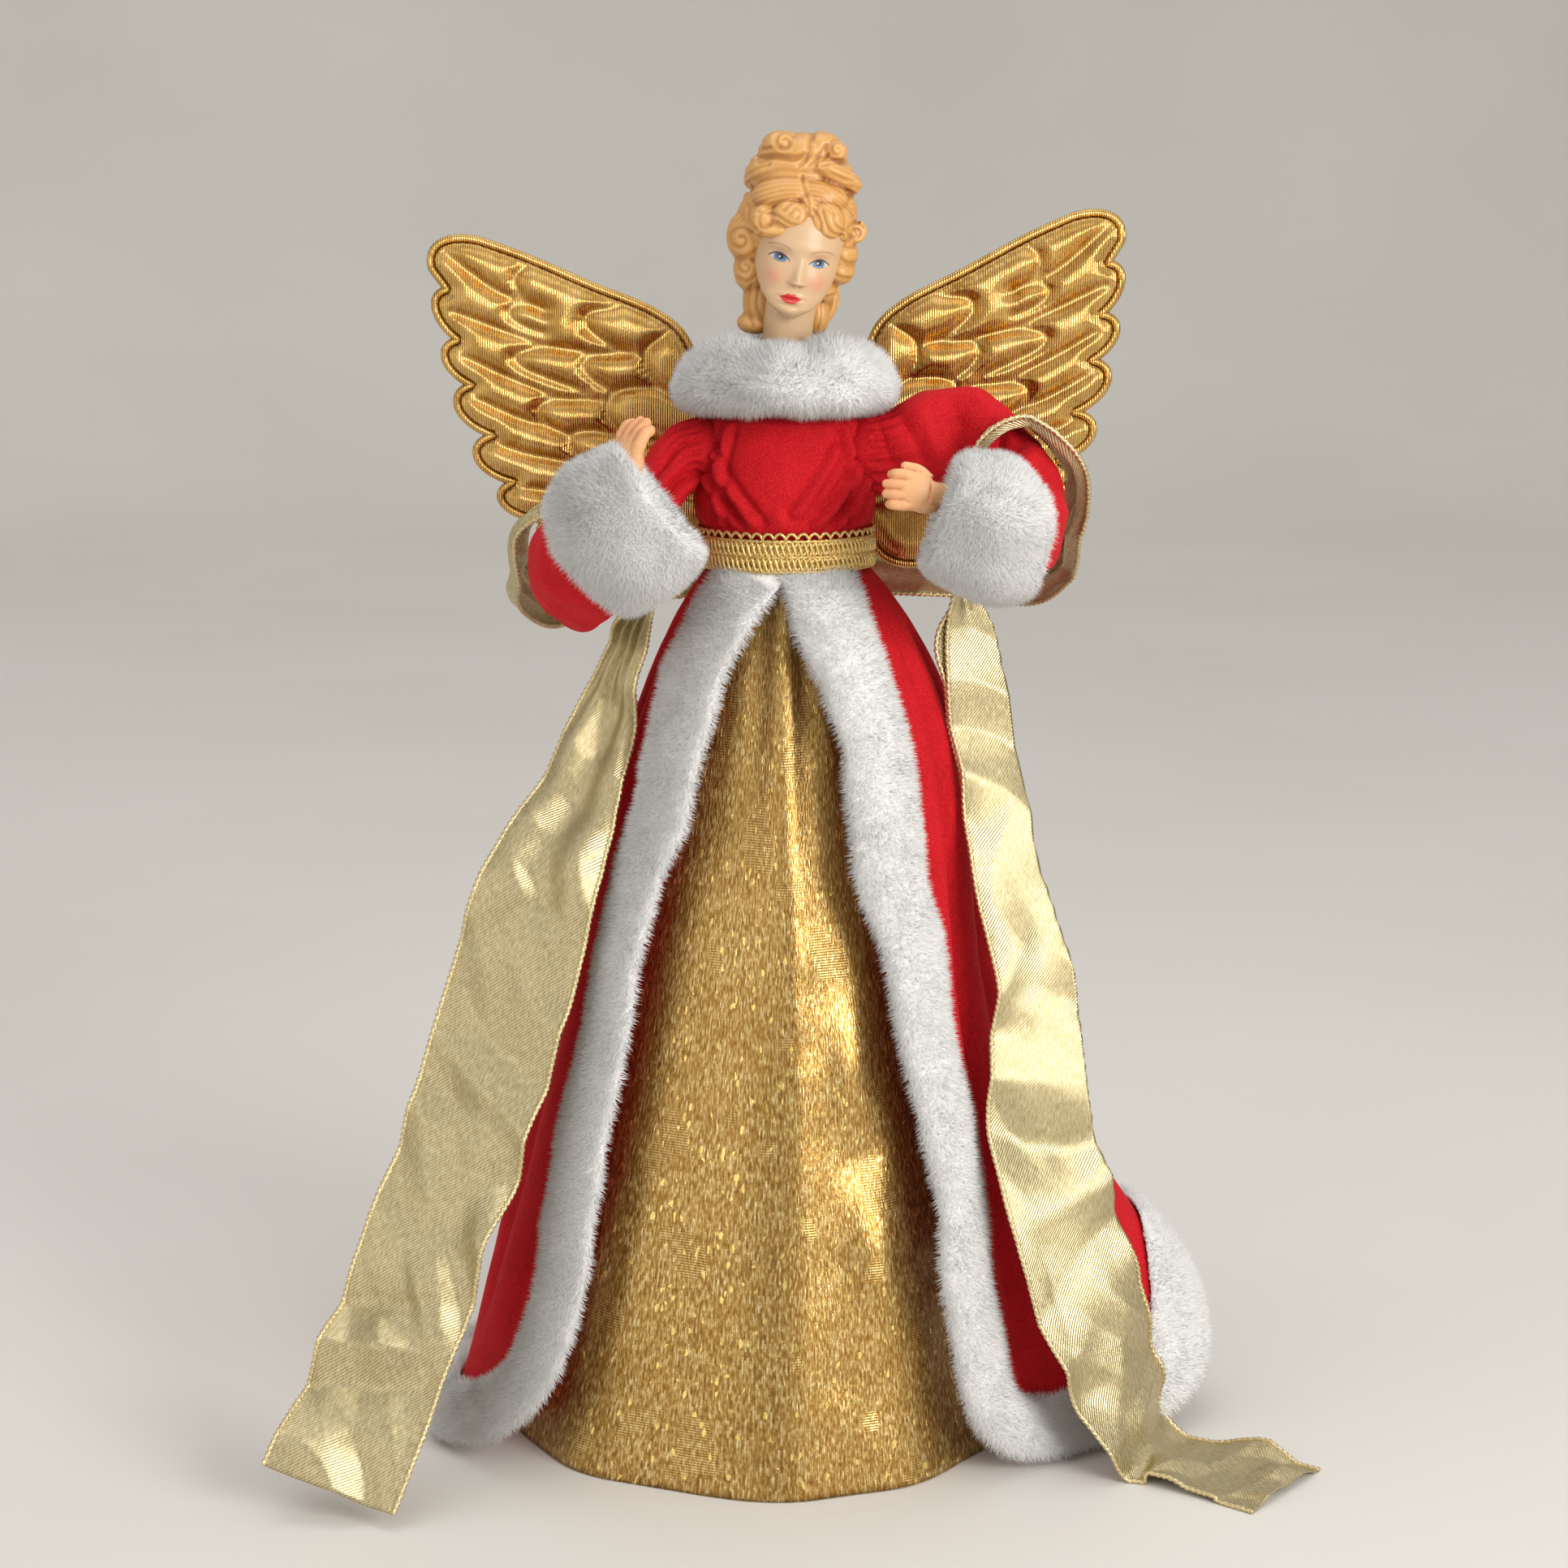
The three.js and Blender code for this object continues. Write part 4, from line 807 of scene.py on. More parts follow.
def robe_rows(across, down):
    """Angles and heights of a grid over the robe, with its front corners rounded."""
    drop = (1 - (1 - np.linspace(0, 1, down)) ** 1.6)[:, None]
    right, left = robe_edges(drop)
    share = np.linspace(0, 1, across)[None]
    angle = mix(right, left, share)
    inside = np.minimum(share, 1 - share) * np.radians(right - left) * ROBE_HEM_RADIUS
    radius = np.where(share < 0.5, CORNER_RIGHT, CORNER_LEFT)
    corner = radius - np.minimum(inside, radius)
    rounding = radius - np.sqrt(radius**2 - corner**2)
    return angle, mix(ROBE_TOP, robe_hem(angle) + rounding, drop), drop


def add_robe():
    """The velvet robe: deep folds from the waist at the sides and back, and small creases."""
    angle, z, drop = robe_rows(360, 130)
    still = robe_point(angle, z)
    leftward = from_front(angle)
    loose = ease((np.abs(leftward) - 42) / 20)
    wave = np.cos(np.radians(26 * angle) + 1.6 * noise(still * np.array([1, 1, 0.5]), 40, 5))
    pleats = (0.8 * wave - 2.0 * np.exp(-(1 + wave) / 0.4)) * np.minimum(1, 5 * drop)
    creases = 0.9 * noise(still * np.array([1, 1, 0.35]), 13, 6) * np.minimum(1, 3 * drop)
    above_hem = ease((z - robe_hem(angle) - TRIM_WIDTH) / 30)
    hip = 4.8 * bump_at(leftward, 82, 26) * bump_at(drop, 0.17, 0.16)
    lift = loose * (pleats + creases) * above_hem + 0.15 * noise(still, 6, 7) + hip + robe_flare(angle, z)
    outward = outward_of(still)
    outer = still + outward * lift[..., None]
    cloth = shell(outer, outer - outward * ROBE_CLOTH)
    obj = add("robe_cloth", cloth, VELVET, "figure", "robe")


def band_section():
    """The D section of a fur band: shares of its half width and of its thickness."""
    turn = np.linspace(math.pi, 0, 19)
    crown = np.stack([np.cos(turn), 0.1 + 0.9 * np.sin(turn) ** 0.75], -1)
    flat = np.stack([np.linspace(0.8, -0.8, 5), np.zeros(5)], -1)
    return np.concatenate([crown, flat])


# The front edging: heights, how far its middle lies inside the robe's edge, and its width without the pile
EDGING_RIGHT = [
    (276, 2.4, 19), (262, 0.4, 20), (246, -1, 19), (225, 0.5, 18), (202, 2, 18), (185, -0.5, 16.5),
    (160, -0.5, 15), (135, 2, 16), (110, 2.5, 17.5), (85, 5.5, 17), (60, 9.5, 17), (20, 12, 17),
]
EDGING_LEFT = [
    (276, 2.5, 22), (258, 4.4, 21.5), (239, 2.5, 20.5), (225, 1, 20), (205, 2.6, 20.5), (185, 4.4, 21),
    (162, 1, 19.5), (137, 1.8, 17.5), (110, 0, 17.5), (85, 0, 15), (60, 3.8, 15.5), (20, 4.4, 16),
]
BAND = band_section()
BAND_FUR = np.arange(len(BAND)) < 18


def edging_path():
    """The middle of the fur edging: down the right front edge, round the hem and up the left.

    Each row is an angle, a height and a width. With the path come the rows where one piece passes to the
    next.
    """
    ends = robe_edges(1.0)

    def hem(angle):
        return robe_hem(angle) - ROBE_CLEAR + SEAT_GAP + HEM_BAND / 2 + 1.2

    parts = []
    sides = ((0, CORNER_RIGHT, EDGING_RIGHT, 1), (1, CORNER_LEFT, EDGING_LEFT, -1))
    for edge, radius, table, inward in sides:
        z = np.linspace(TRIM_TOP, HEM_BAND / 2 + radius, 120)
        angle = robe_edges(np.maximum(ROBE_TOP - z, 0) / ROBE_TOP)[edge]
        round_it = np.linalg.norm(robe_point(angle, z)[:, :2], axis=-1)
        heights = [(h, shift) for h, shift, _ in table[::-1]]
        widths = [(h, width) for h, _, width in table[::-1]]
        angle = angle + inward * np.degrees(along(heights, z) / round_it)
        front = np.stack([angle, z, along(widths, z)], -1)
        turn = np.degrees(radius / ROBE_HEM_RADIUS)
        start = ends[edge] + inward * np.degrees(table[-1][1] / ROBE_FRONT_RADIUS)
        end = start - inward * turn
        corner = [front[-1], (start, hem(start), HEM_BAND), (end, hem(end), HEM_BAND)]
        parts.append(np.concatenate([front, bezier(corner, 20)]))
    middle = np.linspace(parts[0][-1, 0], parts[1][-1, 0], 380)
    along_hem = np.stack([middle, hem(middle), np.full(len(middle), HEM_BAND)], -1)[1:-1]
    path = np.concatenate([parts[0], along_hem, parts[1][::-1]])
    seam = 130
    return path, (seam, len(path) - seam)


def edging_rings(path):
    """Rings of the band's section along the edging."""
    radius = np.linalg.norm(robe_point(path[:, 0], path[:, 1])[:, :2], axis=-1)
    lumps = noise(np.stack([path[:, 0] * 1.5, path[:, 1], 0 * radius], -1), 17, 2)[:, None]
    angle = path[:, 0]
    run = unit(np.stack([np.gradient(angle) * np.radians(1) * radius, np.gradient(path[:, 1])], -1))
    half = BAND[:, 0] * path[:, 2:] / 2 * (1 + 0.05 * lumps)
    under_belt = ease((BELT_BOTTOM + 1 - path[:, 1:2]) / 7)
    thick = BAND[:, 1] * TRIM_THICKNESS * (0.52 + 0.06 * lumps) * (0.2 + 0.8 * under_belt)
    angles = angle[:, None] - half * np.degrees(run[:, 1:] / radius[:, None])
    heights = path[:, 1:2] + half * run[:, :1]
    return robe_point(angles, heights, TRIM_GAP + thick + robe_flare(angles, heights))


def add_edging():
    """The fur bands down the robe's front edges and round its hem, the hem's pile in two halves."""
    path, (first, second) = edging_path()
    rings = edging_rings(path)
    half = (first + second) // 2
    stretches = (("front_trim_right", 0, first + 1), ("hem_trim", first, second + 1),
                 ("front_trim_left", second, len(path)))
    for name, start, end in stretches:
        add(name + "_skin", loft(rings[start:end]), FUR_SKIN, "figure", name)
    piles = (("front_trim_right", 0, first + 1), ("hem_trim_right", first, half + 1),
             ("hem_trim_left", half, second + 1), ("front_trim_left", second, len(path)))
    for i, (name, start, end) in enumerate(piles):
        below_belt = path[start:end - 1, 1:2] < BELT_BOTTOM - 0.3
        surface = closed_rows(rings[start:end])
        weights = BAND_FUR * below_belt
        add_pile(name + "_pile", surface, weights, BAND_HAIRS, BAND_PILE, "figure", 21 + i)


# Bodice, belt and collar

# Pulls in the bodice: from and to, in mm round from the middle and in height, and how far they stand out
BODICE_PULLS = [
    ((-23, 307), (-9, 288), 1.0), ((-26, 300), (-15, 287), 0.9), ((-19, 316), (-20, 288), 0.9),
    ((23, 304), (9, 287), 1.0), ((26, 299), (17, 288), 0.9), ((20, 316), (21, 290), 0.9),
    ((15, 309), (3, 291), 0.6),
]


def torso_oval(turn, z, out):
    return oval(along(TORSO_WIDTHS, z) + out, along(TORSO_DEPTHS, z) + out, turn, z)


def line_gap(x, z, start, end):
    """The distance of places on a flat piece from a straight line on it."""
    start, end = np.array(start, float), np.array(end, float)
    run = end - start
    share = np.clip(((x - start[0]) * run[0] + (z - start[1]) * run[1]) / (run @ run), 0, 1)
    return np.hypot(x - start[0] - share * run[0], z - start[1] - share * run[1])


def add_bodice():
    """The padded velvet bodice, with pulls from the armholes down to the belt."""
    turn = np.linspace(-math.pi, math.pi, 260, endpoint=False)[None]
    z = np.linspace(BODICE_BOTTOM, BODICE_TOP, 84)[:, None]
    out = SEAT_GAP + along(BODICE_THICKNESS, z)
    still = torso_oval(turn, z, out)
    behind = np.where(np.abs(turn) > math.pi / 2, -1, 1)
    round_it = BODICE_RADIUS * turn
    flat = np.where(behind > 0, round_it, np.sign(turn) * BODICE_RADIUS * math.pi - round_it)
    lift = 0.5 * noise(still * np.array([0.6, 1, 1]), 9, 8) + 0.25 * noise(still, 4, 9)
    for start, end, height in BODICE_PULLS:
        gap = line_gap(flat, z, start, end)
        lift = lift + 1.6 * height * (bump_at(gap, 0, 1.4) - 0.9 * bump_at(gap, 2.8, 1.1))
    tucks = 0.9 * np.cos(17 * turn + 1) * ease((293 - z) / 10)
    lift = (lift + tucks) * ease((z - 284) / 5) * ease((BODICE_TOP - z) / 6)
    outer = torso_oval(turn, z, out + np.minimum(lift, 2.0))
    points, faces = shell(outer, torso_oval(turn, z, SEAT_GAP), True)
    off = points[:, 1:] - np.array([0, SHOULDER_Z])
    reach = np.linalg.norm(off, axis=1)
    beside = np.abs(points[:, 0]) > ARMHOLE_SIDE
    near = beside & (np.abs(reach - ARMHOLE_RADIUS) < 0.55)
    points[near, 1:] = np.array([0, SHOULDER_Z]) + off[near] / reach[near, None] * ARMHOLE_RADIUS
    hole = beside & (reach < ARMHOLE_RADIUS - 0.54)
    cloth = (points, [f[~hole[f].any(1)] for f in faces])
    obj = add("bodice_cloth", cloth, VELVET, "figure", "bodice")


def add_belt():
    """The gold braid: looped edges, rails and two rows of crossing cords on a band."""
    band_low, band_high = BELT_BOTTOM, BELT_TOP - 2.2
    turn = full_turn(600)

    def ring(z, out):
        return oval(BELT_HALF_WIDTH + out, BELT_HALF_DEPTH + out, turn, z)

    z = np.linspace(band_low, band_high, 3)[:, None]
    shapes = [shell(ring(z, 0.6), ring(z, 0), True)]
    repeats = 48
    wave = turn * repeats
    loops = ring(band_high + 0.2 + 1.9 * np.abs(np.sin(wave / 2)) ** 0.6, 0.7)
    shapes.append(tube(loops, 0.5, 7, True))
    for rail in (band_low + 0.5, mix(band_low, band_high, 0.5), band_high - 0.2):
        shapes.append(tube(ring(rail, 0.8), 0.5, 7, True, 2, 0.25, 0.9))
    for low, high in ((0.08, 0.46), (0.54, 0.93)):
        centre = mix(band_low, band_high, (low + high) / 2)
        tall = (high - low) / 2 * (band_high - band_low)
        for phase in (0, math.pi):
            cord = ring(centre + tall * np.cos(wave + phase), 0.9 + 0.25 * np.sin(wave + phase))
            shapes.append(tube(cord, 0.55, 7, True))
    add("waist_belt_braid", together(shapes), BRAID, "figure", "waist_belt")


def add_collar():
    """The fat fur collar: a lumpy ring of pile that widens downwards."""
    turn = full_turn(160)[:, None]
    round_it = full_turn(44)[None]
    across, up = np.cos(round_it), np.sin(round_it)
    lumps = 0.7 * np.cos(7 * turn + 1) * across + 1.3 * noise(oval(30, 30, turn, 20 * up), 10, 4)
    crest = 1.8 * (bump_at(turn, 0.75, 0.35) + bump_at(turn, 5.45, 0.35)) * np.maximum(up, 0)
    radius = COLLAR_RADIUS + (COLLAR_HALF_WIDTH - 3.4 + lumps) * across - 4.2 * up
    base = oval(radius, radius, turn, COLLAR_Z - 1 + (COLLAR_HALF_HEIGHT - 3.8 + lumps) * up + crest)
    obj = add("collar_skin", loft(base, True), FUR_SKIN, "figure", "collar")
    surface = closed_rows(np.concatenate([base, base[:1]]))
    add_pile("collar_pile", surface, np.ones((1, 1)), COLLAR_HAIRS, COLLAR_PILE, "figure", 41)


# Arms

SLEEVE_LEFT = [
    ((0, 0, 0), (1, 0, 0), (0, 0, 1), (12, 12)),
    ((7.6, 0, 0.5), (1, 0, 0.05), (0, 0, 1), (13, 13)),
    ((19.6, 0, 2.5), (1, -0.05, 0.05), (0, 0, 1), (17, 13.5)),
    ((32.6, -1, 2), (0.97, -0.2, -0.12), (0, 0, 1), (17.5, 12.5)),
    ((43.6, -6, -5), (0.8, -0.55, -0.25), (0, 0, 1), (15.5, 11.5)),
    ((49.6, -18, -14), (0.05, -0.98, -0.2), (0, 0, 1), (17, 12)),
    ((44, -32, -19.5), (-0.75, -0.66, 0), (0, 0, 1), (17, 13)),
    ((35, -38.5, -18), (-0.92, -0.32, 0.2), (0.2, 0, 1), (16, 13.5)),
    ((25.6, -40, -14.5), (-0.94, 0, 0.33), (0.33, 0, 0.94), (14.5, 13.5)),
]
SLEEVE_RIGHT = [
    ((0, 0, 0), (1, 0, 0), (0, 0, 1), (12, 12)),
    ((6.5, -0.5, -1.5), (0.85, -0.1, -0.5), (0.5, 0, 0.85), (11, 12)),
    ((13.5, -4, -9), (0.55, -0.3, -0.78), (0.8, 0, 0.55), (9, 13)),
    ((20, -11, -21), (0.55, -0.45, -0.7), (0.8, 0.1, 0.6), (9.5, 13)),
    ((30, -20, -31), (0.7, -0.6, -0.4), (0.7, 0.1, 0.75), (12.5, 12.5)),
    ((39.5, -33, -35), (0.2, -0.95, 0.1), (0.66, 0, 0.75), (15.5, 12)),
    ((34, -48, -27), (-0.6, -0.55, 0.5), (0.66, 0, 0.75), (17, 13)),
    ((24.1, -54.5, -17.6), (-0.75, -0.25, 0.6), (0.64, 0, 0.77), (18, 13.5)),
    ((14.9, -56, -11), (-0.78, 0, 0.62), (0.62, 0, 0.78), (17.5, 13)),
]


def from_root(sign, place):
    """A place given from the sleeve's root outwards, in the part's frame."""
    return np.array([sign * (SLEEVE_ROOT_X + place[0]), place[1], SHOULDER_Z + place[2]])


def sleeve_grid(sign, stations, share, columns, out):
    """Rings of a sleeve at shares of its length. Out is how far off its cloth they are."""
    flip = np.array([sign, 1, 1])
    place = through([from_root(sign, s[0]) for s in stations], share)
    aim = unit(through([flip * s[1] for s in stations], share))
    up = through([flip * s[2] for s in stations], share)
    size = through([(*s[3], 0) for s in stations], share)
    side = unit(np.cross(aim, up))
    up = np.cross(side, aim)
    turn = full_turn(columns)[None]
    lift = SLEEVE_FOLD_DEPTH * share[:, None] * np.cos(SLEEVE_FOLDS * turn) + out
    tall = np.cos(turn) * (size[:, :1] + lift)
    deep = np.sin(turn) * (size[:, 1:2] + lift)
    return place[:, None] + up[:, None] * tall[..., None] + side[:, None] * deep[..., None]


# Folds of the sleeves: share of the length, angle from the top, how long and wide each is, and its height
FOLDS_LEFT = [
    (0.42, 30, 0.13, 18, 2.6), (0.35, 72, 0.045, 40, -4.2), (0.27, 84, 0.05, 44, 2.0),
    (0.2, 70, 0.03, 40, -2.6), (0.49, 66, 0.035, 50, -3.4), (0.56, 90, 0.04, 46, 1.6),
    (0.63, 100, 0.03, 50, -2.4), (0.64, 300, 0.05, 50, -2.2), (0.45, 280, 0.05, 40, -2.0),
    (0.13, 95, 0.03, 60, -1.8),
]
FOLDS_RIGHT = [
    (0.22, 250, 0.16, 9, -3.2), (0.25, 272, 0.18, 10, 2.0), (0.24, 296, 0.16, 9, -3.0),
    (0.2, 230, 0.14, 12, 1.6), (0.44, 250, 0.035, 44, -3.2), (0.51, 285, 0.04, 44, 1.8),
    (0.57, 250, 0.03, 54, -3.0), (0.64, 270, 0.035, 44, 1.8), (0.7, 260, 0.025, 60, -2.4),
    (0.5, 120, 0.05, 50, -2.2),
]


def sharp_at(place, middle, width):
    """A fold's crest: 1 at its middle, with a sharper top than a bump."""
    return np.exp(-np.sqrt(((place - middle) / width) ** 2 + 0.04) + 0.2)


def add_sleeve(side, sign, stations, folds, cuff_start, seed):
    """A velvet sleeve with gathers at the shoulder, folds and creases at the elbow, and a fur cuff."""
    body = "arm_" + side + "_unit"
    share = np.linspace(0, SLEEVE_END, 190)
    columns = 150
    still = sleeve_grid(sign, stations, share, columns, 0.0)
    turn = full_turn(columns)[None]
    row = share[:, None]
    loose = ease(row / 0.06) * ease((cuff_start + 0.03 - row) / 0.08)
    gathers = 0.7 * np.cos(20 * turn) * bump_at(row, 0.09, 0.08)
    elbow = -2.4 * np.abs(noise(still * np.array([1.3, 1.3, 0.6]), 11, seed)) * bump_at(row, 0.55, 0.2)
    creases = -1.6 * ease(2.2 * noise(still, 15, seed + 1) - 0.2) + 0.5 * noise(still, 6, seed + 2)
    out = gathers + elbow + creases * 0.6
    for place, angle, length, width, height in folds:
        off = (np.degrees(turn) - angle + 180) % 360 - 180
        slant = place + 0.0009 * off
        if width > 20:
            out = out + height * sharp_at(row, slant, length) * bump_at(off, 0, width)
        else:
            out = out + height * bump_at(row, place, length) * sharp_at(off, 0, width)
    out = out * loose
    outer = sleeve_grid(sign, stations, share, columns, out)
    inner = sleeve_grid(sign, stations, share, columns, out - SLEEVE_WALL)
    tuck = np.array([-sign * SLEEVE_TUCK, 0, 0])
    outer = np.concatenate([outer[:1] + tuck, outer])
    inner = np.concatenate([inner[:1] + tuck, inner])
    cloth = shell(outer, inner, True)
    obj = add("sleeve_" + side + "_cloth", cloth, VELVET, body, "sleeve_" + side)
    add_cuff(side, sign, stations, cuff_start, body, seed + 10)


def add_cuff(side, sign, stations, start, body, seed):
    """A fur cuff, thickest in its middle, that stands out past the sleeve's end and turns into it."""
    across = np.linspace(0, 1, 30)
    share = np.concatenate([mix(start, 1, across), [1, 0.985, 0.95]])
    thick = CUFF_THICKNESS * (0.35 + 0.65 * np.sin(math.pi * across) ** 0.7) * 0.5
    out = np.concatenate([SEAT_GAP + thick, [0, -1.8, -3.0]])[:, None]
    back = np.concatenate([np.full(30, SEAT_GAP * 0.5), [-1.0, -2.8, -4.0]])[:, None]
    outer = sleeve_grid(sign, stations, share, 90, out)
    lumps = 0.7 * noise(outer, 12, seed)
    outer = sleeve_grid(sign, stations, share, 90, out + lumps)
    inner = sleeve_grid(sign, stations, share, 90, back)
    ahead = unit(np.array([sign, 1, 1]) * np.array(stations[-1][1]))
    rim = np.concatenate([2.6 * ease((across - 0.6) / 0.4), [3.6, 3.4, 2.4]])[:, None, None] * ahead
    outer = outer + rim
    inner = inner + rim
    add("cuff_" + side + "_skin", shell(outer, inner, True), FUR_SKIN, body, "cuff_" + side)
    surface = closed_rows(outer)
    add_pile("cuff_" + side + "_pile", surface, np.ones((1, 1)), CUFF_HAIRS, CUFF_PILE, body, seed)


def add_hand(side, sign, wrist, fingers, palm, grow):
    """A small painted hand: palm, thumb and four fingers laid close together, coloured with painted shade in
    its hollows.
    """
    flip = np.array([sign, 1, 1])
    wrist = from_root(sign, wrist)
    ahead = unit(flip * fingers)
    face = flip * palm
    face = unit(face - ahead * (face @ ahead))
    across = np.cross(-face, ahead)
    basis = np.stack([across, -face, ahead])
    shapes = [tube(curve([(0, 0, -7), (0, 0, -2), (0, 0, 3)], 8), np.linspace(2.2, 3.6, 8), 14)]
    shapes.append(ball((0, 0, 6.6), (5.6, 2.6, 5.6)))
    shapes.append(ball((sign * 3.2, -0.6, 4.2), (2.6, 2.4, 4.4)))
    for i in range(4):
        x = (i - 1.5) * FINGER_PITCH
        reach = HAND_LENGTH * (0.99 - 0.07 * abs(i - 1.4))
        path = [(x * 0.8, 0.1, 6.5), (x, 0.5, 10), (x * 1.02, 0.1, 13), (x * 0.98, -0.9, reach - 1.3)]
        shapes.append(tube(curve(path, 14), np.linspace(1.7, 1.3, 14), 12))
        shapes.append(ball(path[-1], (1.3, 1.3, 1.5), 12, 12))
        shapes.append(ball(path[1], (1.6, 1.7, 1.7), 12, 12))
    thumb = [(-sign * 3.6, -0.8, 3.6), (-sign * 6.2, -1.6, 6.6), (-sign * 6.9, -1.6, 10.2)]
    shapes.append(tube(curve(thumb, 12), np.linspace(2.0, 1.4, 12), 12))
    shapes.append(ball(thumb[-1], (1.4, 1.4, 1.6), 12, 12))
    points, faces = together(shapes)
    shape = fused((points @ basis * grow + wrist, faces), 0.32, 3)
    obj = add("hand_" + side + "_skin", shape, HANDS, "hand_" + side + "_unit", "hand_" + side)
    # Painted shade: the skin colour darkens in the hand's hollows, such as between the fingers.
    groove = np.clip(hollows(shape) * 9, 0, 1)[:, None]
    tip = np.clip(((shape[0] - wrist) @ ahead - 10) / 9, 0, 1)[:, None]
    skin = mix(linear(226, 170, 120), linear(222, 148, 100), 0.6 * tip)
    paint(obj, mix(skin, linear(190, 104, 60), groove))


# Wings, in mm from the wing's root

WING_TOP = [(11.5, 19), (15.5, 32), (20, 43), (28, 50), (46, 59.3), (65.3, 69.7), (79, 76)]
WING_NOTCHES = [(90.1, 61.8), (88.2, 46.2), (85.4, 32), (80.4, 16), (75.5, 1), (66, -12), (51, -20.5)]
SCALLOP_REACH = [7, 8, 9, 10, 8.5, 6.5]
# Stitched lines between the long feathers, then round the tips of the short ones
FEATHERS = [
    [(90, 73.5), (80.5, 64.7), (75, 60.3), (68.7, 56.8)],
    [(90, 55.6), (81.5, 51.5), (73, 47.4), (65, 43.9), (50, 39.5), (35, 37.6)],
    [(87.4, 41.4), (78, 35.7), (68.4, 30.6), (58, 26), (46, 24.5)],
    [(84.8, 28), (75, 22.3), (67, 18.5), (57, 14)],
    [(79.5, 13.4), (72, 10), (62, 7), (52, 4)],
    [(72, -1), (62, -3), (52, -4), (44, -3)],
    [(58, -14), (50, -12), (41, -10), (33, -9)],
    [(59.8, 53), (67.4, 57.8), (69.2, 62.5), (68.5, 65.3), (65.4, 66.5)],
    [(61, 45.8), (68, 49), (72.2, 52.8), (71.5, 55), (64, 54.5), (60.8, 52.4)],
    [(35, 37.9), (42.7, 41.4), (48.7, 47.7), (48, 51), (38, 52)],
    [(49.8, 26.8), (61.4, 31.9), (70.2, 36.9), (71.8, 39.8), (70.2, 41), (62.5, 41.7), (49.8, 39.5)],
    [(42, 26), (48.5, 31), (50.8, 35.4), (49.8, 37.3), (35.7, 37.6)],
    [(57.7, 14.7), (62.8, 17.8), (66.2, 21.7), (65.2, 24.5), (54.3, 24.9), (47.3, 23.6)],
    [(41, 12), (50, 15), (57, 14), (56, 8), (50, 4), (41, 3)],
    [(24, 24), (33, 27), (42, 26), (45, 20), (41, 13), (30, 10)],
    [(28, 9), (36, 9), (41, 3), (38, -4), (29, -7)],
    [(17, 21), (25, 24), (31, 31), (31, 38), (24, 43)],
    [(14, 6), (22, 8), (28, 3), (26, -6), (17, -9)],
]


def bezier(points, count):
    t = np.linspace(0, 1, count)[1:, None]
    points = np.array(points, float)
    while len(points) > 1:
        points = [mix(a, b, t) for a, b in zip(points[:-1], points[1:])]
    return points[0]


def wing_outline():
    """The wing's edge: its root, its top, its tip, the scallops of its feathers and its foot."""
    root = np.radians(np.linspace(300, 60, 14))
    arc = WING_ROOT_RADIUS * np.stack([np.cos(root), np.sin(root)], -1)
    parts = [arc, curve([tuple(arc[-1]), *WING_TOP], 60)[1:]]
    parts.append(bezier([WING_TOP[-1], (87, 78.6), (95.5, 77.5), (94.5, 69)], 14))
    parts.append(np.array([WING_NOTCHES[0]], float))
    for i, reach in enumerate(SCALLOP_REACH):
        (x0, z0), (x1, z1) = WING_NOTCHES[i], WING_NOTCHES[i + 1]
        fall = i / 7
        pulls = [(x0 + reach, z0 - 3 * fall), (x0 + 0.8 * reach, mix(z0, z1, 0.6) - 4 * fall)]
        parts.append(bezier([(x0, z0), *pulls, (x1, z1)], 16))
    parts.append(bezier([WING_NOTCHES[-1], (43, -31), (27, -35), (20, -27)], 18))
    parts.append(bezier([(20, -27), (15, -20), (13, -13)], 10))
    parts.append(curve([(13, -13), (8, -9), tuple(arc[0])], 8)[1:-1])
    return np.concatenate(parts)


def lengths_along(line):
    """How far along a line each of its points is."""
    return np.concatenate([[0], np.cumsum(np.linalg.norm(np.diff(line, axis=0), axis=1))])


def evenly(line, step, closed=False):
    """Points a step apart along a line."""
    line = np.concatenate([line, line[:1]]) if closed else line
    length = lengths_along(line)
    count = max(2, int(length[-1] / step))
    place = np.linspace(0, length[-1], count + 1)
    place = place[:-1] if closed else place
    return np.stack([np.interp(place, length, line[:, k]) for k in range(line.shape[1])], -1)


def drawn_in(outline, by):
    """The outline moved in by a distance."""
    run = unit(np.roll(outline, -1, 0) - np.roll(outline, 1, 0))
    return outline + by * np.stack([run[:, 1], -run[:, 0]], -1)


def flat_mesh(outline, step, seed):
    """Points and triangles that fill an outline."""
    rng = np.random.default_rng(seed)
    low, high = outline.min(0), outline.max(0)
    x, z = np.meshgrid(np.arange(low[0], high[0], step), np.arange(low[1], high[1], step * 0.87))
    x = x + np.where(np.arange(len(x)) % 2, step / 2, 0)[:, None]
    points = np.stack([x.ravel(), z.ravel()], -1) + rng.uniform(-0.08, 0.08, (x.size, 2)) * step
    ends = np.roll(outline, -1, 0)
    inside = np.zeros(len(points), bool)
    for (ax, az), (bx, bz) in zip(outline, ends):
        spans = (az > points[:, 1]) != (bz > points[:, 1])
        with np.errstate(divide="ignore", invalid="ignore"):
            cross = ax + (points[:, 1] - az) / (bz - az) * (bx - ax)
        inside ^= spans & (points[:, 0] < cross)
    points = points[inside]
    gap = np.min([np.linalg.norm(points - p, axis=1) for p in outline], axis=0)
    points = points[gap > step * 0.6]
    every = [Vector(p) for p in np.concatenate([outline, points])]
    ring = list(range(len(outline)))
    edges = [(i, (i + 1) % len(ring)) for i in ring]
    found = geometry.delaunay_2d_cdt(every, edges, [ring], 1, 1e-5)
    return np.array([tuple(p) for p in found[0]]), np.array([f for f in found[2] if len(f) == 3])


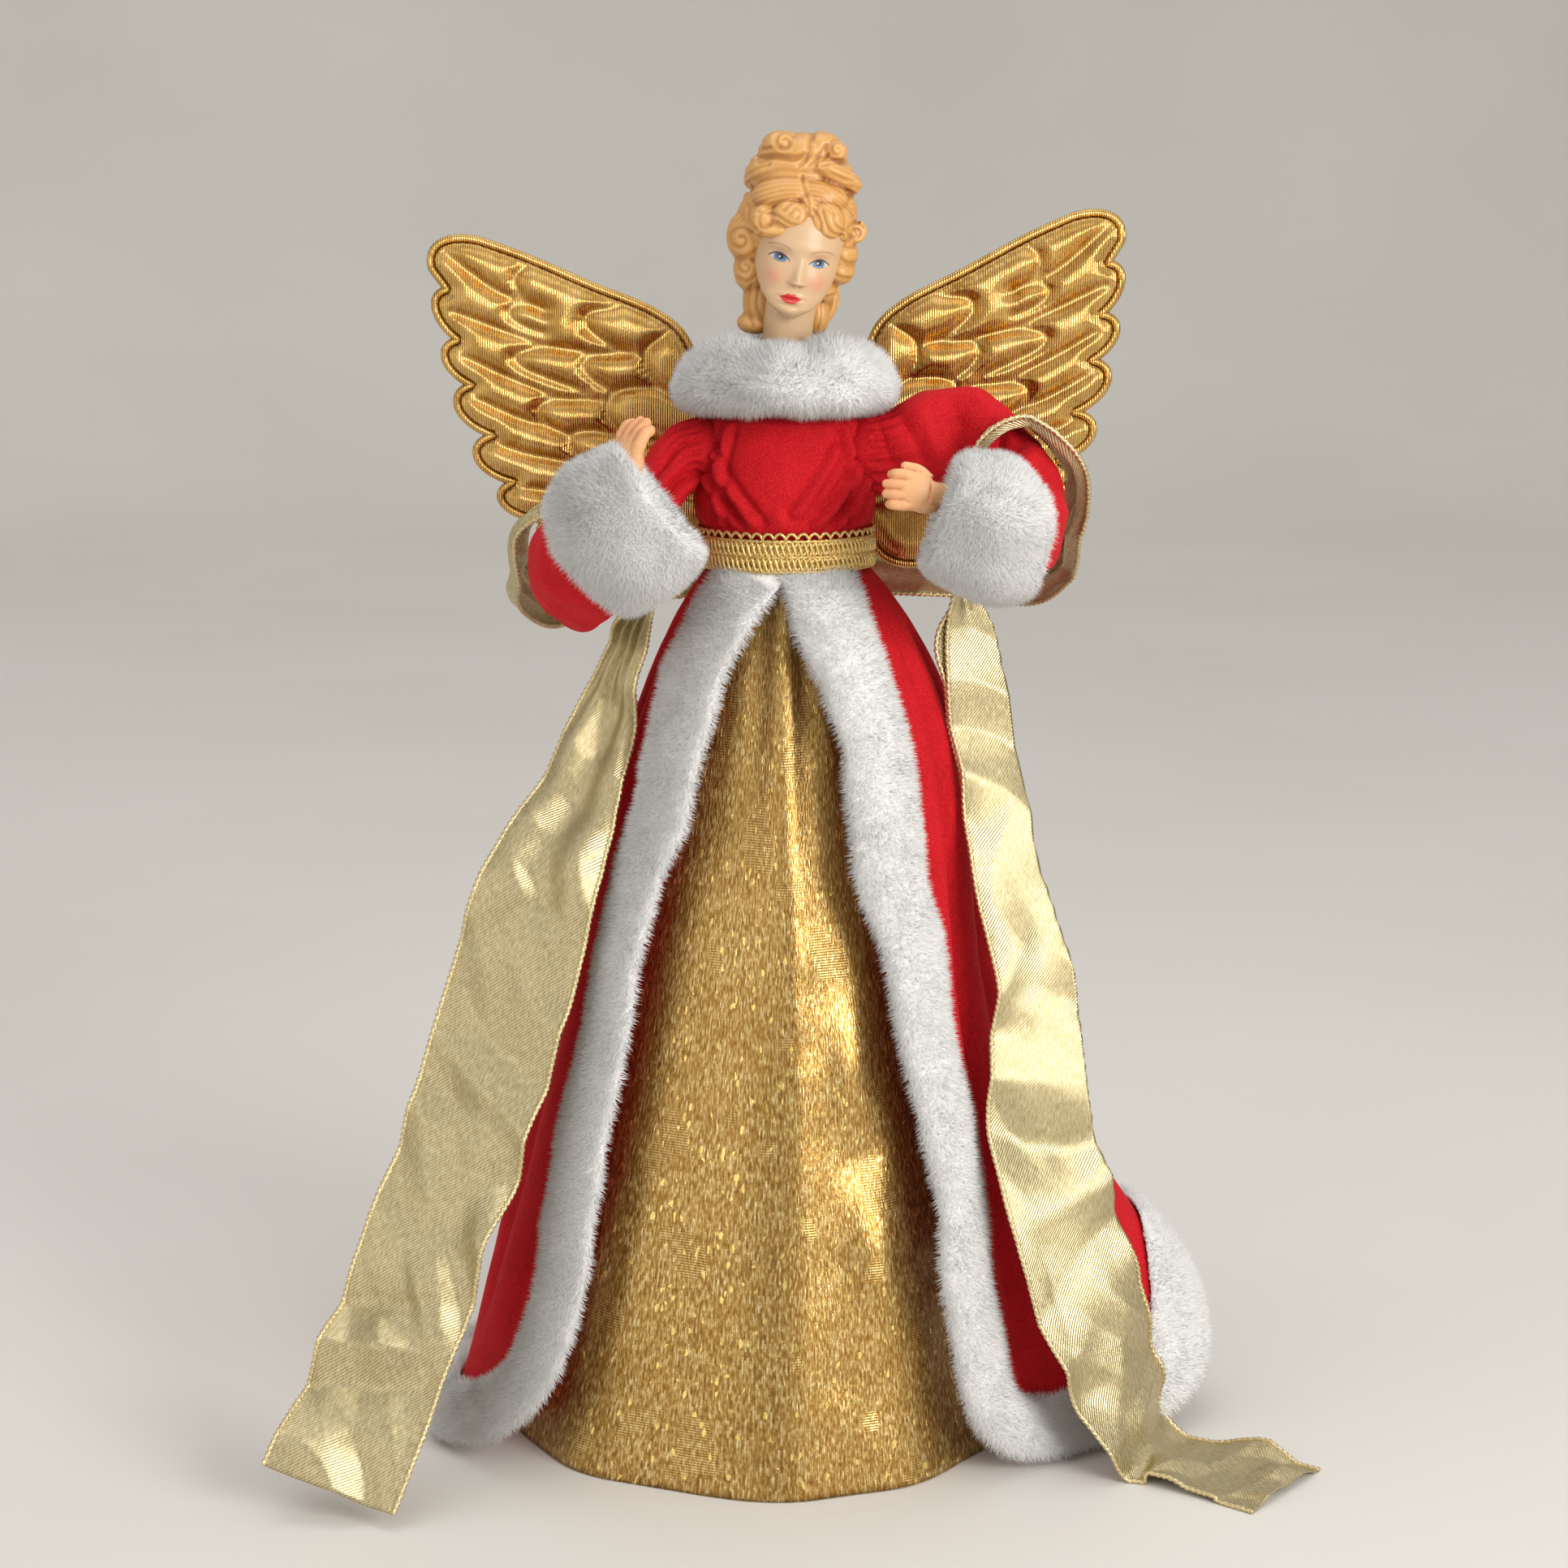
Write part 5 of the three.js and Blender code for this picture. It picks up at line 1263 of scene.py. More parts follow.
def quilt(points, lines):
    """Each point's distance from the nearest stitched line, and how far along that line it is."""
    best = np.full(len(points), 1e9)
    place = np.zeros(len(points))
    for line in lines:
        for i in range(len(line)):
            gap = np.linalg.norm(points - line[i], axis=1)
            nearer = gap < best
            best[nearer] = gap[nearer]
            place[nearer] = i
    return best, place


def sides_of(triangles):
    return np.concatenate([triangles[:, [0, 1]], triangles[:, [1, 2]], triangles[:, [2, 0]]])


def smoothed(values, triangles, rounds):
    """Values on a mesh, each drawn towards those of its neighbours."""
    edges = sides_of(triangles)
    edges = np.concatenate([edges, edges[:, ::-1]])
    count = np.bincount(edges[:, 0], minlength=len(values))
    for _ in range(rounds):
        around = np.bincount(edges[:, 0], values[edges[:, 1]], len(values)) / count
        values = mix(values, around, 0.7)
    return values


def add_wing(side, sign, droop):
    """A quilted wing: a puffed front, a thinner back, and two rolled welts round its edge."""
    body = "wing_" + side + "_unit"
    edge = evenly(wing_outline(), 0.7, True)
    if np.cross(edge, np.roll(edge, -1, 0)).sum() > 0:
        edge = edge[::-1]
    pad_edge = evenly(drawn_in(edge, 1.6), 0.8, True)
    flat, triangles = flat_mesh(pad_edge, 0.62, 5)
    step = 0.5
    lines = [evenly(curve(f, 60), step) for f in FEATHERS] + [evenly(pad_edge, step, True)]
    gap, place = quilt(flat, lines)
    deep = np.stack([flat[:, 0], 0 * gap, flat[:, 1]], -1)
    gap = np.sqrt(gap**2 + 0.25) - 0.5
    puff = np.sqrt(1 - (1 - np.minimum(gap / 5.2, 1)) ** 2)
    pucker = 0.14 * np.exp(-gap / 1.8) * np.sin(place * 1.7 + 2 * noise(deep, 6, 3))
    puff = smoothed(puff, triangles, 7)
    front = 0.9 + 4.6 * puff + pucker * np.minimum(1, gap) + 0.3 * noise(deep, 9, 9) * puff
    back = 0.3 + 1.0 * (1 - np.exp(-gap / 2.5)) + 0.2 * noise(deep, 5, 11)

    def placed(points, y):
        turn = math.radians(droop)
        x = points[:, 0] * math.cos(turn) + points[:, 1] * math.sin(turn)
        z = -points[:, 0] * math.sin(turn) + points[:, 1] * math.cos(turn)
        return stacked(sign * (WING_ROOT[0] + x), y, WING_ROOT[1] + z)

    def slab(face_y, flat_y):
        count = len(flat)
        ends = sides_of(triangles).tolist()
        both = {tuple(e) for e in ends}
        rim = np.array([e for e in ends if (e[1], e[0]) not in both])
        walls = np.stack([rim[:, 1], rim[:, 0], rim[:, 0] + count, rim[:, 1] + count], -1)
        points = np.concatenate([placed(flat, face_y), placed(flat, flat_y)])
        return points, [triangles, triangles[:, ::-1] + count, walls]

    face = slab(WING_PAD_BACK - front, WING_PAD_BACK)
    pad = add("wing_" + side + "_pad", face, LAME, body, "wing_" + side)
    backing = slab(WING_PAD_BACK + 0.4 + back, WING_PAD_BACK + WING_BACKING_GAP)
    add("wing_backing_" + side + "_cloth", backing, LAME, body, "wing_backing_" + side)
    outer = tube(placed(edge, WING_PAD_BACK), WING_WELT_RADIUS, 14, True)
    inner = tube(placed(drawn_in(edge, 2.1), WING_PAD_BACK - 1.1), 0.8, 12, True, 3, 0.08, 1.6)
    add("wing_welt_" + side + "_cord", together([outer, inner]), LAME, body, "wing_welt_" + side)


def add_spine():
    """The velvet strip that the wings are stitched to."""
    z = np.linspace(-1, 1, 40)[:, None]
    turn = full_turn(48)[None]
    full = (1 - np.abs(z) ** 6) ** 0.5
    wide = np.sign(np.sin(turn)) * np.abs(np.sin(turn)) ** 0.6
    deep = np.sign(np.cos(turn)) * np.abs(np.cos(turn)) ** 0.6
    x = SPINE_HALF_WIDTH * wide * (0.8 + 0.2 * full)
    y = SPINE_Y + SPINE_HALF_DEPTH * deep * (0.5 + 0.5 * full)
    rings = stacked(x, y, WING_ROOT[1] + SPINE_HALF_HEIGHT * z)
    add("wing_spine_cloth", loft(rings), VELVET, "figure", "wing_spine")


# Sash: middles, directions of width and widths along the ribbon, from the figure's back to each tail

SASH_BACK_Y = 50.0
SASH_SEED = 60
SASH_LEFT_BACK = [((34, 1, -35.3), (0, 0.1, 1), 28), ((62, -2, -38.3), (0, 0.1, 1), 24),
                  ((78, -14, -41.3), (0, 0.2, 1), 18)]
SASH_RIGHT_BACK = [((34, 1, -36.3), (0, 0.1, 1), 28), ((62, -2, -42.3), (0, 0.1, 1), 24),
                   ((74, -14, -48.8), (0, 0.2, 1), 18)]
SASH_LEFT_ARM = [
    ((64.5, 14, -25.3), (-0.2, 0.5, 0.85), 16),
    ((65, -2, -9.3), (-0.3, 0.75, 0.6), 15),
    ((59.5, -13, 2.7), (-0.35, 0.93, 0.1), 14),
    ((49, -14, 11.7), (0, 1, 0), 12),
    ((37.6, -17, 6.7), (0.1, 1, 0), 6),
    ((31.6, -16.4, -6.3), (0.1, 1, 0), 4),
    ((30.6, -16.2, -22.3), (0.1, 1, 0), 4),
    ((32.6, -15, -44.3), (0.85, 0.5, 0), 16),
]
SASH_RIGHT_ARM = [
    ((58, 14, -40.3), (-0.2, 0.5, 0.85), 16),
    ((57.5, -4, -30.3), (-0.3, 0.75, 0.6), 15),
    ((54.6, -16, -19.3), (-0.35, 0.93, 0.1), 12),
    ((47.5, -24, -14.3), (0, 1, 0), 9),
    ((37, -30.5, -11.3), (0.25, 0.95, 0), 5),
    ((25.5, -31, -16.3), (0.9, 0.3, 0), 4),
    ((18.5, -35.8, -34.3), (0.95, 0.2, 0), 5),
]
# Down a tail a place is an angle round the robe, a distance off it and a share of its height
SASH_LEFT_TAIL = [
    ((76, 16.5, 0.869), (0.9, 0.42, 0), 20),
    ((75, 14, 0.781), (0.92, 0.38, 0.05), 20),
    ((68, 16.2, 0.657), (0.95, 0.3, 0), 22),
    ((64.5, 21.8, 0.547), (0.95, 0.3, -0.05), 26),
    ((60.5, 19.8, 0.394), (0.92, 0.38, 0), 34),
    ((61.5, 26, 0.201), (0.8, 0.6, 0), 40),
    ((66, 23.5, 0.062), (0.6, 0.8, 0), 41),
    ((68.2, 22.5, 0.018), (0.5, 0.86, 0), 41),
    ((67.2, 41.7, 0.0075), (0.55, 0.83, 0), 41),
    ((65, 69.4, 0.0045), (0.715, 0.7, 0), 41),
]
SASH_RIGHT_TAIL = [
    ((66, 15, 0.912), (0.7, 0.7, 0), 12),
    ((72, 11.3, 0.839), (0.9, 0.42, 0), 20),
    ((67, 15.3, 0.755), (0.92, 0.38, 0), 28),
    ((61.5, 25.3, 0.657), (0.9, 0.3, 0.2), 36),
    ((61.7, 28.5, 0.529), (0.92, 0.35, 0.1), 40),
    ((60.5, 35.3, 0.391), (0.9, 0.4, 0.1), 40),
    ((59, 45, 0.255), (0.88, 0.4, 0.15), 40),
    ((56.5, 56.3, 0.139), (0.88, 0.35, 0.25), 40),
    ((53.2, 71.5, 0.038), (0.88, 0.25, 0.36), 41),
]


def sash_side(sign, back, arm, tail):
    """One side's stations in the part's frame."""
    flip = np.array([sign, 1, 1])
    places = [np.array([sign * p[0], SASH_BACK_Y + p[1], SHOULDER_Z + p[2]]) for p, _, _ in back]
    places += [from_root(sign, p) for p, _, _ in arm]
    places += [robe_point(np.array(sign * p[0]), np.array(p[2] * ROBE_TOP), p[1]) for p, _, _ in tail]
    every = [*back, *arm, *tail]
    return [(place, flip * s[1], s[2]) for place, s in zip(places, every)]


# Sets of creases across the ribbon: their angle, spacing and height
SASH_CREASES = [(24, 38, 2.6), (-35, 29, 2.0), (70, 52, 1.6), (-62, 21, 1.0)]


def crisp_creases(places, seed):
    """The sharp flat-sided creases of stiff ribbon, in mm, at places across and along it."""
    total = np.zeros(places.shape[:-1])
    for i, (angle, size, height) in enumerate(SASH_CREASES):
        turn = math.radians(angle)
        place = (places[..., 0] * math.sin(turn) + places[..., 1] * math.cos(turn)) / size
        place = place + 0.5 * noise(places, 46, seed + i) + 0.37 * i
        wave = 4 * np.abs(place - np.floor(place) - 0.5) - 1
        total = total + height * wave * ease(0.45 + 1.3 * noise(places, 34, seed + 10 + i))
    return total


def ribbon_shape(stations, first, last, folded, wavy, start):
    """A stretch of the ribbon: its cloth with its weave map, and its corded edges.

    Start is how far along the ribbon the stretch begins. Where the ribbon is narrow it is gathered in
    pleats, or has one edge folded behind it.
    """
    spans = len(stations) - 1
    rows = int((last - first) * 24)
    share = np.linspace(first, last, rows) / spans
    middle = through([s[0] for s in stations], share)
    wide = unit(through([s[1] for s in stations], share))
    width = through([(s[2], 0, 0) for s in stations], share)[:, :1]
    run = unit(np.gradient(middle, axis=0))
    face = unit(np.cross(run, wide))
    wide = np.cross(face, run)
    across = np.linspace(-1, 1, 49)[None]
    length = start + lengths_along(middle)[:, None]
    cloth = stacked(across * SASH_WIDTH / 2, length, 0 * length)
    tucked = folded * ease((width - 12) / 7)
    flat = (across + 1) * SASH_WIDTH / 2
    under = np.maximum(flat - np.maximum(width, 14), 0)
    x = mix(across * width / 2, np.minimum(flat, width) - under - width / 2, tucked)
    slack = np.sqrt(np.maximum(SASH_WIDTH**2 - width**2, 0))
    gathered = 1 - ease((width - 8) / 18)
    pleat = gathered * np.minimum(slack / 14, 1.5) * np.cos(3.5 * math.pi * across + 0.03 * length)
    soft = slack / (9 if wavy else 15) * (1 - gathered) * np.cos(1.6 * math.pi * across + 0.015 * length)
    places = stacked(x, length, 0 * length)
    crumple = crisp_creases(places, SASH_SEED) * (0.25 + 0.75 * np.minimum(1, width / SASH_WIDTH))
    lift = (pleat + soft) * (1 - tucked) - 1.5 * tucked * ease(under / 2)
    lift = lift + crumple + 0.1 * noise(places, 5, SASH_SEED + 2)
    surface = middle[:, None] + wide[:, None] * x[..., None] + face[:, None] * lift[..., None]
    surface[..., 2] = np.maximum(surface[..., 2], SASH_FLOOR)
    off = face[:, None] * SASH_HALF_THICKNESS
    body = shell(surface + off, surface - off)
    edges = []
    for column in (0, -1):
        edges.append(tube(evenly(surface[:, column], 0.35), 0.7, 8, False, 2, 0.3, 1.1))
    return body, together(edges), cloth


def add_sash():
    """The wired ribbon behind the back, over both elbows and down to the floor, in four stretches."""
    right = sash_side(-1, SASH_RIGHT_BACK, SASH_RIGHT_ARM, SASH_RIGHT_TAIL)
    left = sash_side(1, SASH_LEFT_BACK, SASH_LEFT_ARM, SASH_LEFT_TAIL)
    middle = (np.array([0, SASH_BACK_Y, SHOULDER_Z - 34.3]), np.array([0, 0, 1.0]), 30)
    stations = [*right[::-1], middle, *left]
    centre = len(right)
    over_right = centre - 7
    over_left = centre + 7
    end_station = len(stations) - 1
    stretches = [
        ("tail_right", 0, over_right, "arm_right_unit", "figure", (-45, -33, 285), (-75, -40, 120)),
        ("back_right", over_right, centre, "figure", "arm_right_unit", (-30, 50, 270), (-85, 14, 272)),
        ("back_left", centre, over_left, "figure", "arm_left_unit", (30, 50, 270), (88, 14, 285)),
        ("tail_left", over_left, end_station, "arm_left_unit", "figure", (54, -16, 290), (75, -30, 120)),
    ]
    reach = 0.0
    for stretch, first, last, before, after, start, end in stretches:
        name = "sash_" + stretch
        folded = float(stretch == "tail_left")
        body, edges, cloth = ribbon_shape(stations, first, last, folded, "back" in stretch, reach)
        obj = add(name, body, RIBBON)
        lay_weave(obj, *np.tile(cloth.reshape(-1, 3)[:, :2], (2, 1)).T)
        cords = add(name + "_edges", edges, RIBBON_EDGE)
        for piece in (obj, cords):
            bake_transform(piece)
        if first == 0:
            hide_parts("sash")
        flat_length = float(cloth[-1, 0, 1]) - reach
        reach = reach + flat_length


# Head. Its own axes are across to its left, up and ahead, from an origin behind the eyes.

HEAD_ROLL = math.radians(10.5)
HEAD_NOD = math.radians(9)
HEAD_YAW = math.radians(4)
EYES = np.array([4.1, -17.0, 364.3])
EYE_DEPTH = 16.2
EYE_OUT = 5.75
SKIN = (208, 174, 136)


def head_axes():
    cos, sin = math.cos, math.sin
    nod = np.array([[1, 0, 0], [0, cos(HEAD_NOD), -sin(HEAD_NOD)], [0, sin(HEAD_NOD), cos(HEAD_NOD)]])
    roll = np.array([[cos(HEAD_ROLL), 0, sin(HEAD_ROLL)], [0, 1, 0], [-sin(HEAD_ROLL), 0, cos(HEAD_ROLL)]])
    yaw = np.array([[cos(HEAD_YAW), -sin(HEAD_YAW), 0], [sin(HEAD_YAW), cos(HEAD_YAW), 0], [0, 0, 1]])
    axes = yaw @ roll @ nod
    return np.stack([axes @ [1, 0, 0], axes @ [0, 0, 1], axes @ [0, -1, 0]])


HEAD_AXES = head_axes()
HEAD_ORIGIN = EYES - EYE_DEPTH * HEAD_AXES[2]
# Height, half width, front and back of the face's cross sections
FACE_ROWS = [
    (-17.2, 1.4, 14.2, 12.8), (-16.2, 3.8, 15.4, 11.6), (-14, 6.8, 16.3, 9), (-11, 9.3, 16.4, 4.5),
    (-8, 11, 16.4, -1), (-4, 12.3, 16.4, -8), (0, 12.8, 16.2, -11), (4, 13, 16.5, -12), (9, 13, 15.3, -12),
    (14, 12, 12.5, -11), (17, 9, 9, -8),
]


def spot(a, b, at, size):
    """A soft spot on the face, 1 at its middle."""
    return np.exp(-(((a - at[0]) / size[0]) ** 2) - ((b - at[1]) / size[1]) ** 2)


def face_relief(a, b):
    """How far the face's features stand out, at a place across and up."""
    lift = np.zeros_like(a)
    for eye in (-EYE_OUT, EYE_OUT):
        lift -= 1.1 * spot(a, b, (eye, 0.4), (3.4, 2.0))
        lift += 0.75 * spot(a, b, (eye, -0.1), (2.4, 1.3))
        lift += 0.3 * spot(a, b, (eye, 3.4), (4.0, 1.2))
        lift += 0.7 * spot(a, b, (eye * 1.15, -5.5), (3.6, 3.0))
    bridge = ease((1.5 - b) / 8) * ease((b + 7.6) / 1.5)
    ridge = bump_at(a, 0.5, 1.3 + 0.6 * bridge) * ease((2.5 - b) / 2.5) * ease((b + 8.0) / 1.6)
    lift += (0.4 + 2.5 * bridge) * ridge
    lift += 0.7 * (spot(a, b, (-1.1, -6.5), (0.9, 0.9)) + spot(a, b, (2.1, -6.5), (0.9, 0.9)))
    lift += 0.8 * spot(a, b, (-0.5, -10.3), (3.0, 0.8)) + 0.9 * spot(a, b, (-0.5, -12.0), (2.4, 0.8))
    lift -= 0.5 * spot(a, b, (-0.5, -11.15), (3.2, 0.35)) + 0.5 * spot(a, b, (-0.5, -13.5), (2.5, 0.7))
    return lift + 0.7 * spot(a, b, (-0.5, -15.4), (2.4, 1.6))


def face_colours(a, b):
    """The painted face: skin, blush, brows, eyes and lips, with painted shade over the upper lids, under the
    eyes and at the nostrils, and painted highlights in the eyes and on the lower lip.
    """
    colours = np.broadcast_to(linear(*SKIN), (*a.shape, 3)).copy()

    def lay(share, colour):
        colours[:] = mix(colours, linear(*colour), np.clip(share, 0, 1)[..., None])

    def crisp(distance, softness=0.16):
        return ease(0.5 - distance / softness / 2)

    for side in (-1, 1):
        lay(0.55 * spot(a, b, (side * 6.8, -5.6), (3.0, 2.6)), (214, 128, 104))
        x = (a - side * EYE_OUT) * side
        y = b + 0.05
        lid = 1.25 - 0.16 * x**2 + 0.1 * x
        low = -1.15 + 0.13 * x**2 - 0.04 * x
        # Painted shade in the fold over the upper lid.
        lay(0.45 * spot(x, y, (0.2, 1.9), (2.8, 0.9)), (196, 140, 110))
        within = crisp(np.maximum(y - lid, low - y))
        lay(within, (200, 200, 198))
        iris = np.hypot(x + 0.05, y - 0.05)
        lay(within * crisp(iris - 1.85, 0.5), (62, 92, 136))
        glow = spot(x, y, (0.0, -0.7), (1.6, 0.7))
        lay(within * crisp(iris - 1.5) * glow, (108, 146, 184))
        lay(within * crisp(np.hypot(x + 0.05, y - 0.3) - 0.9), (20, 20, 30))
        # A white dot in each eye: a painted highlight.
        lay(crisp(np.hypot(a - side * EYE_OUT + 0.2, y - 0.2) - 0.22), (252, 252, 252))
        lash = np.abs(y - lid - 0.02) - 0.24
        lay(crisp(np.maximum(lash, np.abs(x - 0.25) - 3.1)), (52, 34, 28))
        # A soft darker line under the eye: painted shade along the lower lid.
        rim = np.maximum(np.abs(y - low) - 0.08, np.abs(x) - 2.5)
        lay(0.5 * crisp(rim), (150, 96, 70))
        brow = 3.9 - 0.075 * (x - 0.8) ** 2
        thick = np.maximum(np.abs(y - brow) - 0.17, np.abs(x - 0.7) - 3.4)
        lay(0.75 * crisp(thick, 0.3), (140, 96, 64))
        # Darker dots at the nostrils: painted shade.
        lay(0.7 * spot(a, b, (0.5 + side * 0.95, -7.35), (0.5, 0.32)), (150, 70, 52))
    x = a + 0.6
    upper = -10.1 + 0.45 * bump_at(np.abs(x), 0.9, 0.8) - 0.085 * x**2
    part = -11.15 - 0.02 * x**2
    lower = -12.75 + 0.16 * x**2
    lips = crisp(np.maximum(np.maximum(b - upper, lower - b), np.abs(x) - 3.5))
    lay(lips, (204, 42, 40))
    # A lighter spot on the lower lip: a painted highlight.
    lay(lips * 0.7 * spot(x, b, (0, -11.9), (1.4, 0.4)), (232, 110, 100))
    lay(0.8 * crisp(np.maximum(np.abs(b - part) - 0.06, np.abs(x) - 3.6)), (120, 22, 26))
    return colours


def add_face():
    """The face and neck, with the features modelled and painted."""
    chin, crown = FACE_ROWS[0][0], FACE_ROWS[-1][0]
    up = np.concatenate([np.linspace(chin, 6, 150), np.linspace(6.3, crown, 30)])[:, None]
    front = np.radians(np.linspace(-100, 100, 230))
    behind = np.radians(np.linspace(105, 255, 30))
    turn = np.concatenate([front, behind])[None]
    rows = np.array(FACE_ROWS)
    size = np.stack([along(list(zip(rows[:, 0], rows[:, k])), up[:, 0]) for k in (1, 2, 3)], -1)[:, None]
    smooth = np.array([0.25, 0.5, 0.25])
    for _ in range(30):
        padded = np.concatenate([size[:1], size, size[-1:]])
        size = smooth[0] * padded[:-2] + smooth[1] * padded[1:-1] + smooth[2] * padded[2:]
    a = size[..., 0] * np.sin(turn)
    half = (size[..., 1] - size[..., 2]) / 2
    ahead = (size[..., 1] + size[..., 2]) / 2 + half * np.cos(turn)
    b = np.broadcast_to(up, a.shape)
    facing = ease((np.cos(turn) - 0.1) / 0.4)
    ahead = ahead + face_relief(a, b) * facing
    rings = np.stack([a, b, ahead], -1)
    skin = face_colours(a, b) * facing[..., None] + linear(*SKIN) * (1 - facing[..., None])
    points, faces = loft(rings)
    points = points @ HEAD_AXES + HEAD_ORIGIN
    neck_path = curve([(0, 0, 323), (0.2, -0.5, 335), (1.0, -1.5, 347), (2.6, -2, 358)], 24)
    neck = tube(neck_path, along([(0, 8.6), (0.4, 7.4), (1, 7.8)], np.linspace(0, 1, 24)), 40)
    obj = add("head_face", together([(points, faces), neck]), FACE, "head_unit", "head")
    plain = np.broadcast_to(linear(*SKIN), (2 + len(neck[0]), 3))
    paint(obj, np.concatenate([skin.reshape(-1, 3), plain]))


def lock(points, start, end, count=60):
    """A lock of hair along a curve, ridged with strands."""
    radius = mix(start, end, np.linspace(0, 1, count))
    taper = np.linspace(0.15, 5, count)
    radius = radius * np.sqrt(np.clip(np.minimum(taper, taper[::-1]), 0, 1))
    return tube(curve(points, count), radius, 28, False, 6, 0.08, 0.04)


def curl(centre, radius, thick, face=(0, -1, 0), turns=1.35, start=0.0):
    """A coiled curl that faces a direction, its end wound into its middle."""
    face = unit(np.array(face, float))
    across = unit(np.cross(face, [0, 0, 1.0]))
    up = np.cross(across, face)
    share = np.linspace(0, 1, 46)
    turn = start + share * turns * 2 * math.pi
    reach = radius * (1 - 0.62 * share)
    path = np.array(centre) + reach[:, None] * (np.cos(turn)[:, None] * across + np.sin(turn)[:, None] * up)
    path = path + face * (share * thick * 0.5)[:, None]
    return tube(path, thick * (1 - 0.4 * share), 26)


# The masses of the hair: middles and half sizes
HAIR_MASSES = [
    # Crown and nape
    ((2.4, 3, 374), (17.8, 16.5, 15.5)), ((1, -7, 383.5), (11, 7.2, 5.5)), ((9, -6.5, 382.5), (9.5, 7, 5.5)),
    ((2.5, 8, 358), (12, 9, 14)),
    # Coiled bun
    ((4, 3, 389.8), (16.3, 13, 7)), ((4, 3.5, 396), (12.4, 10.5, 5.8)), ((-0.8, 1, 398.4), (6.4, 7, 4)),
    ((10.2, 2, 398), (6.4, 7, 4)), ((15, -1.4, 396), (3.4, 5, 3.6)),
    # Fringe
    ((1.6, -14.2, 377.4), (5.9, 4.3, 4.6)), ((-6.2, -11.8, 376), (4.4, 4.2, 4.8)),
    ((-3.5, -13, 373.4), (6, 4.2, 2.4)), ((11.6, -12.8, 375.6), (5.6, 4.4, 5.8)),
    ((16.4, -7, 375), (3.6, 6, 5.4)), ((6.8, -12.4, 379.4), (3.4, 4.2, 4.2)),
    # Curls on the figure's right, down to the collar
    ((-10.4, 1, 371), (7.4, 9.5, 8.6)), ((-10, 2, 361.4), (5.8, 8.5, 7)), ((-8, 3, 352), (5, 7, 9)),
    ((-9.2, 3, 345.6), (5.6, 6.5, 3.6)),
    # Curls on its left
    ((17, 0, 378), (4.4, 8.5, 7)), ((16.6, 1, 366), (5.2, 8.5, 5.6)), ((15.6, 1, 361), (5.2, 8, 4.4)),
    ((11.6, 2, 355.6), (3.8, 7, 4.4)), ((9.6, 3, 348), (3.7, 6, 6.4)),
]


def coil(x, z, radius):
    """The groove of a curl wound inwards."""
    turn = np.linspace(0.6, 2.5 * math.pi, 12)
    reach = radius * (1 - 0.1 * turn)
    return list(zip(x + reach * np.cos(turn), z + reach * np.sin(turn)))


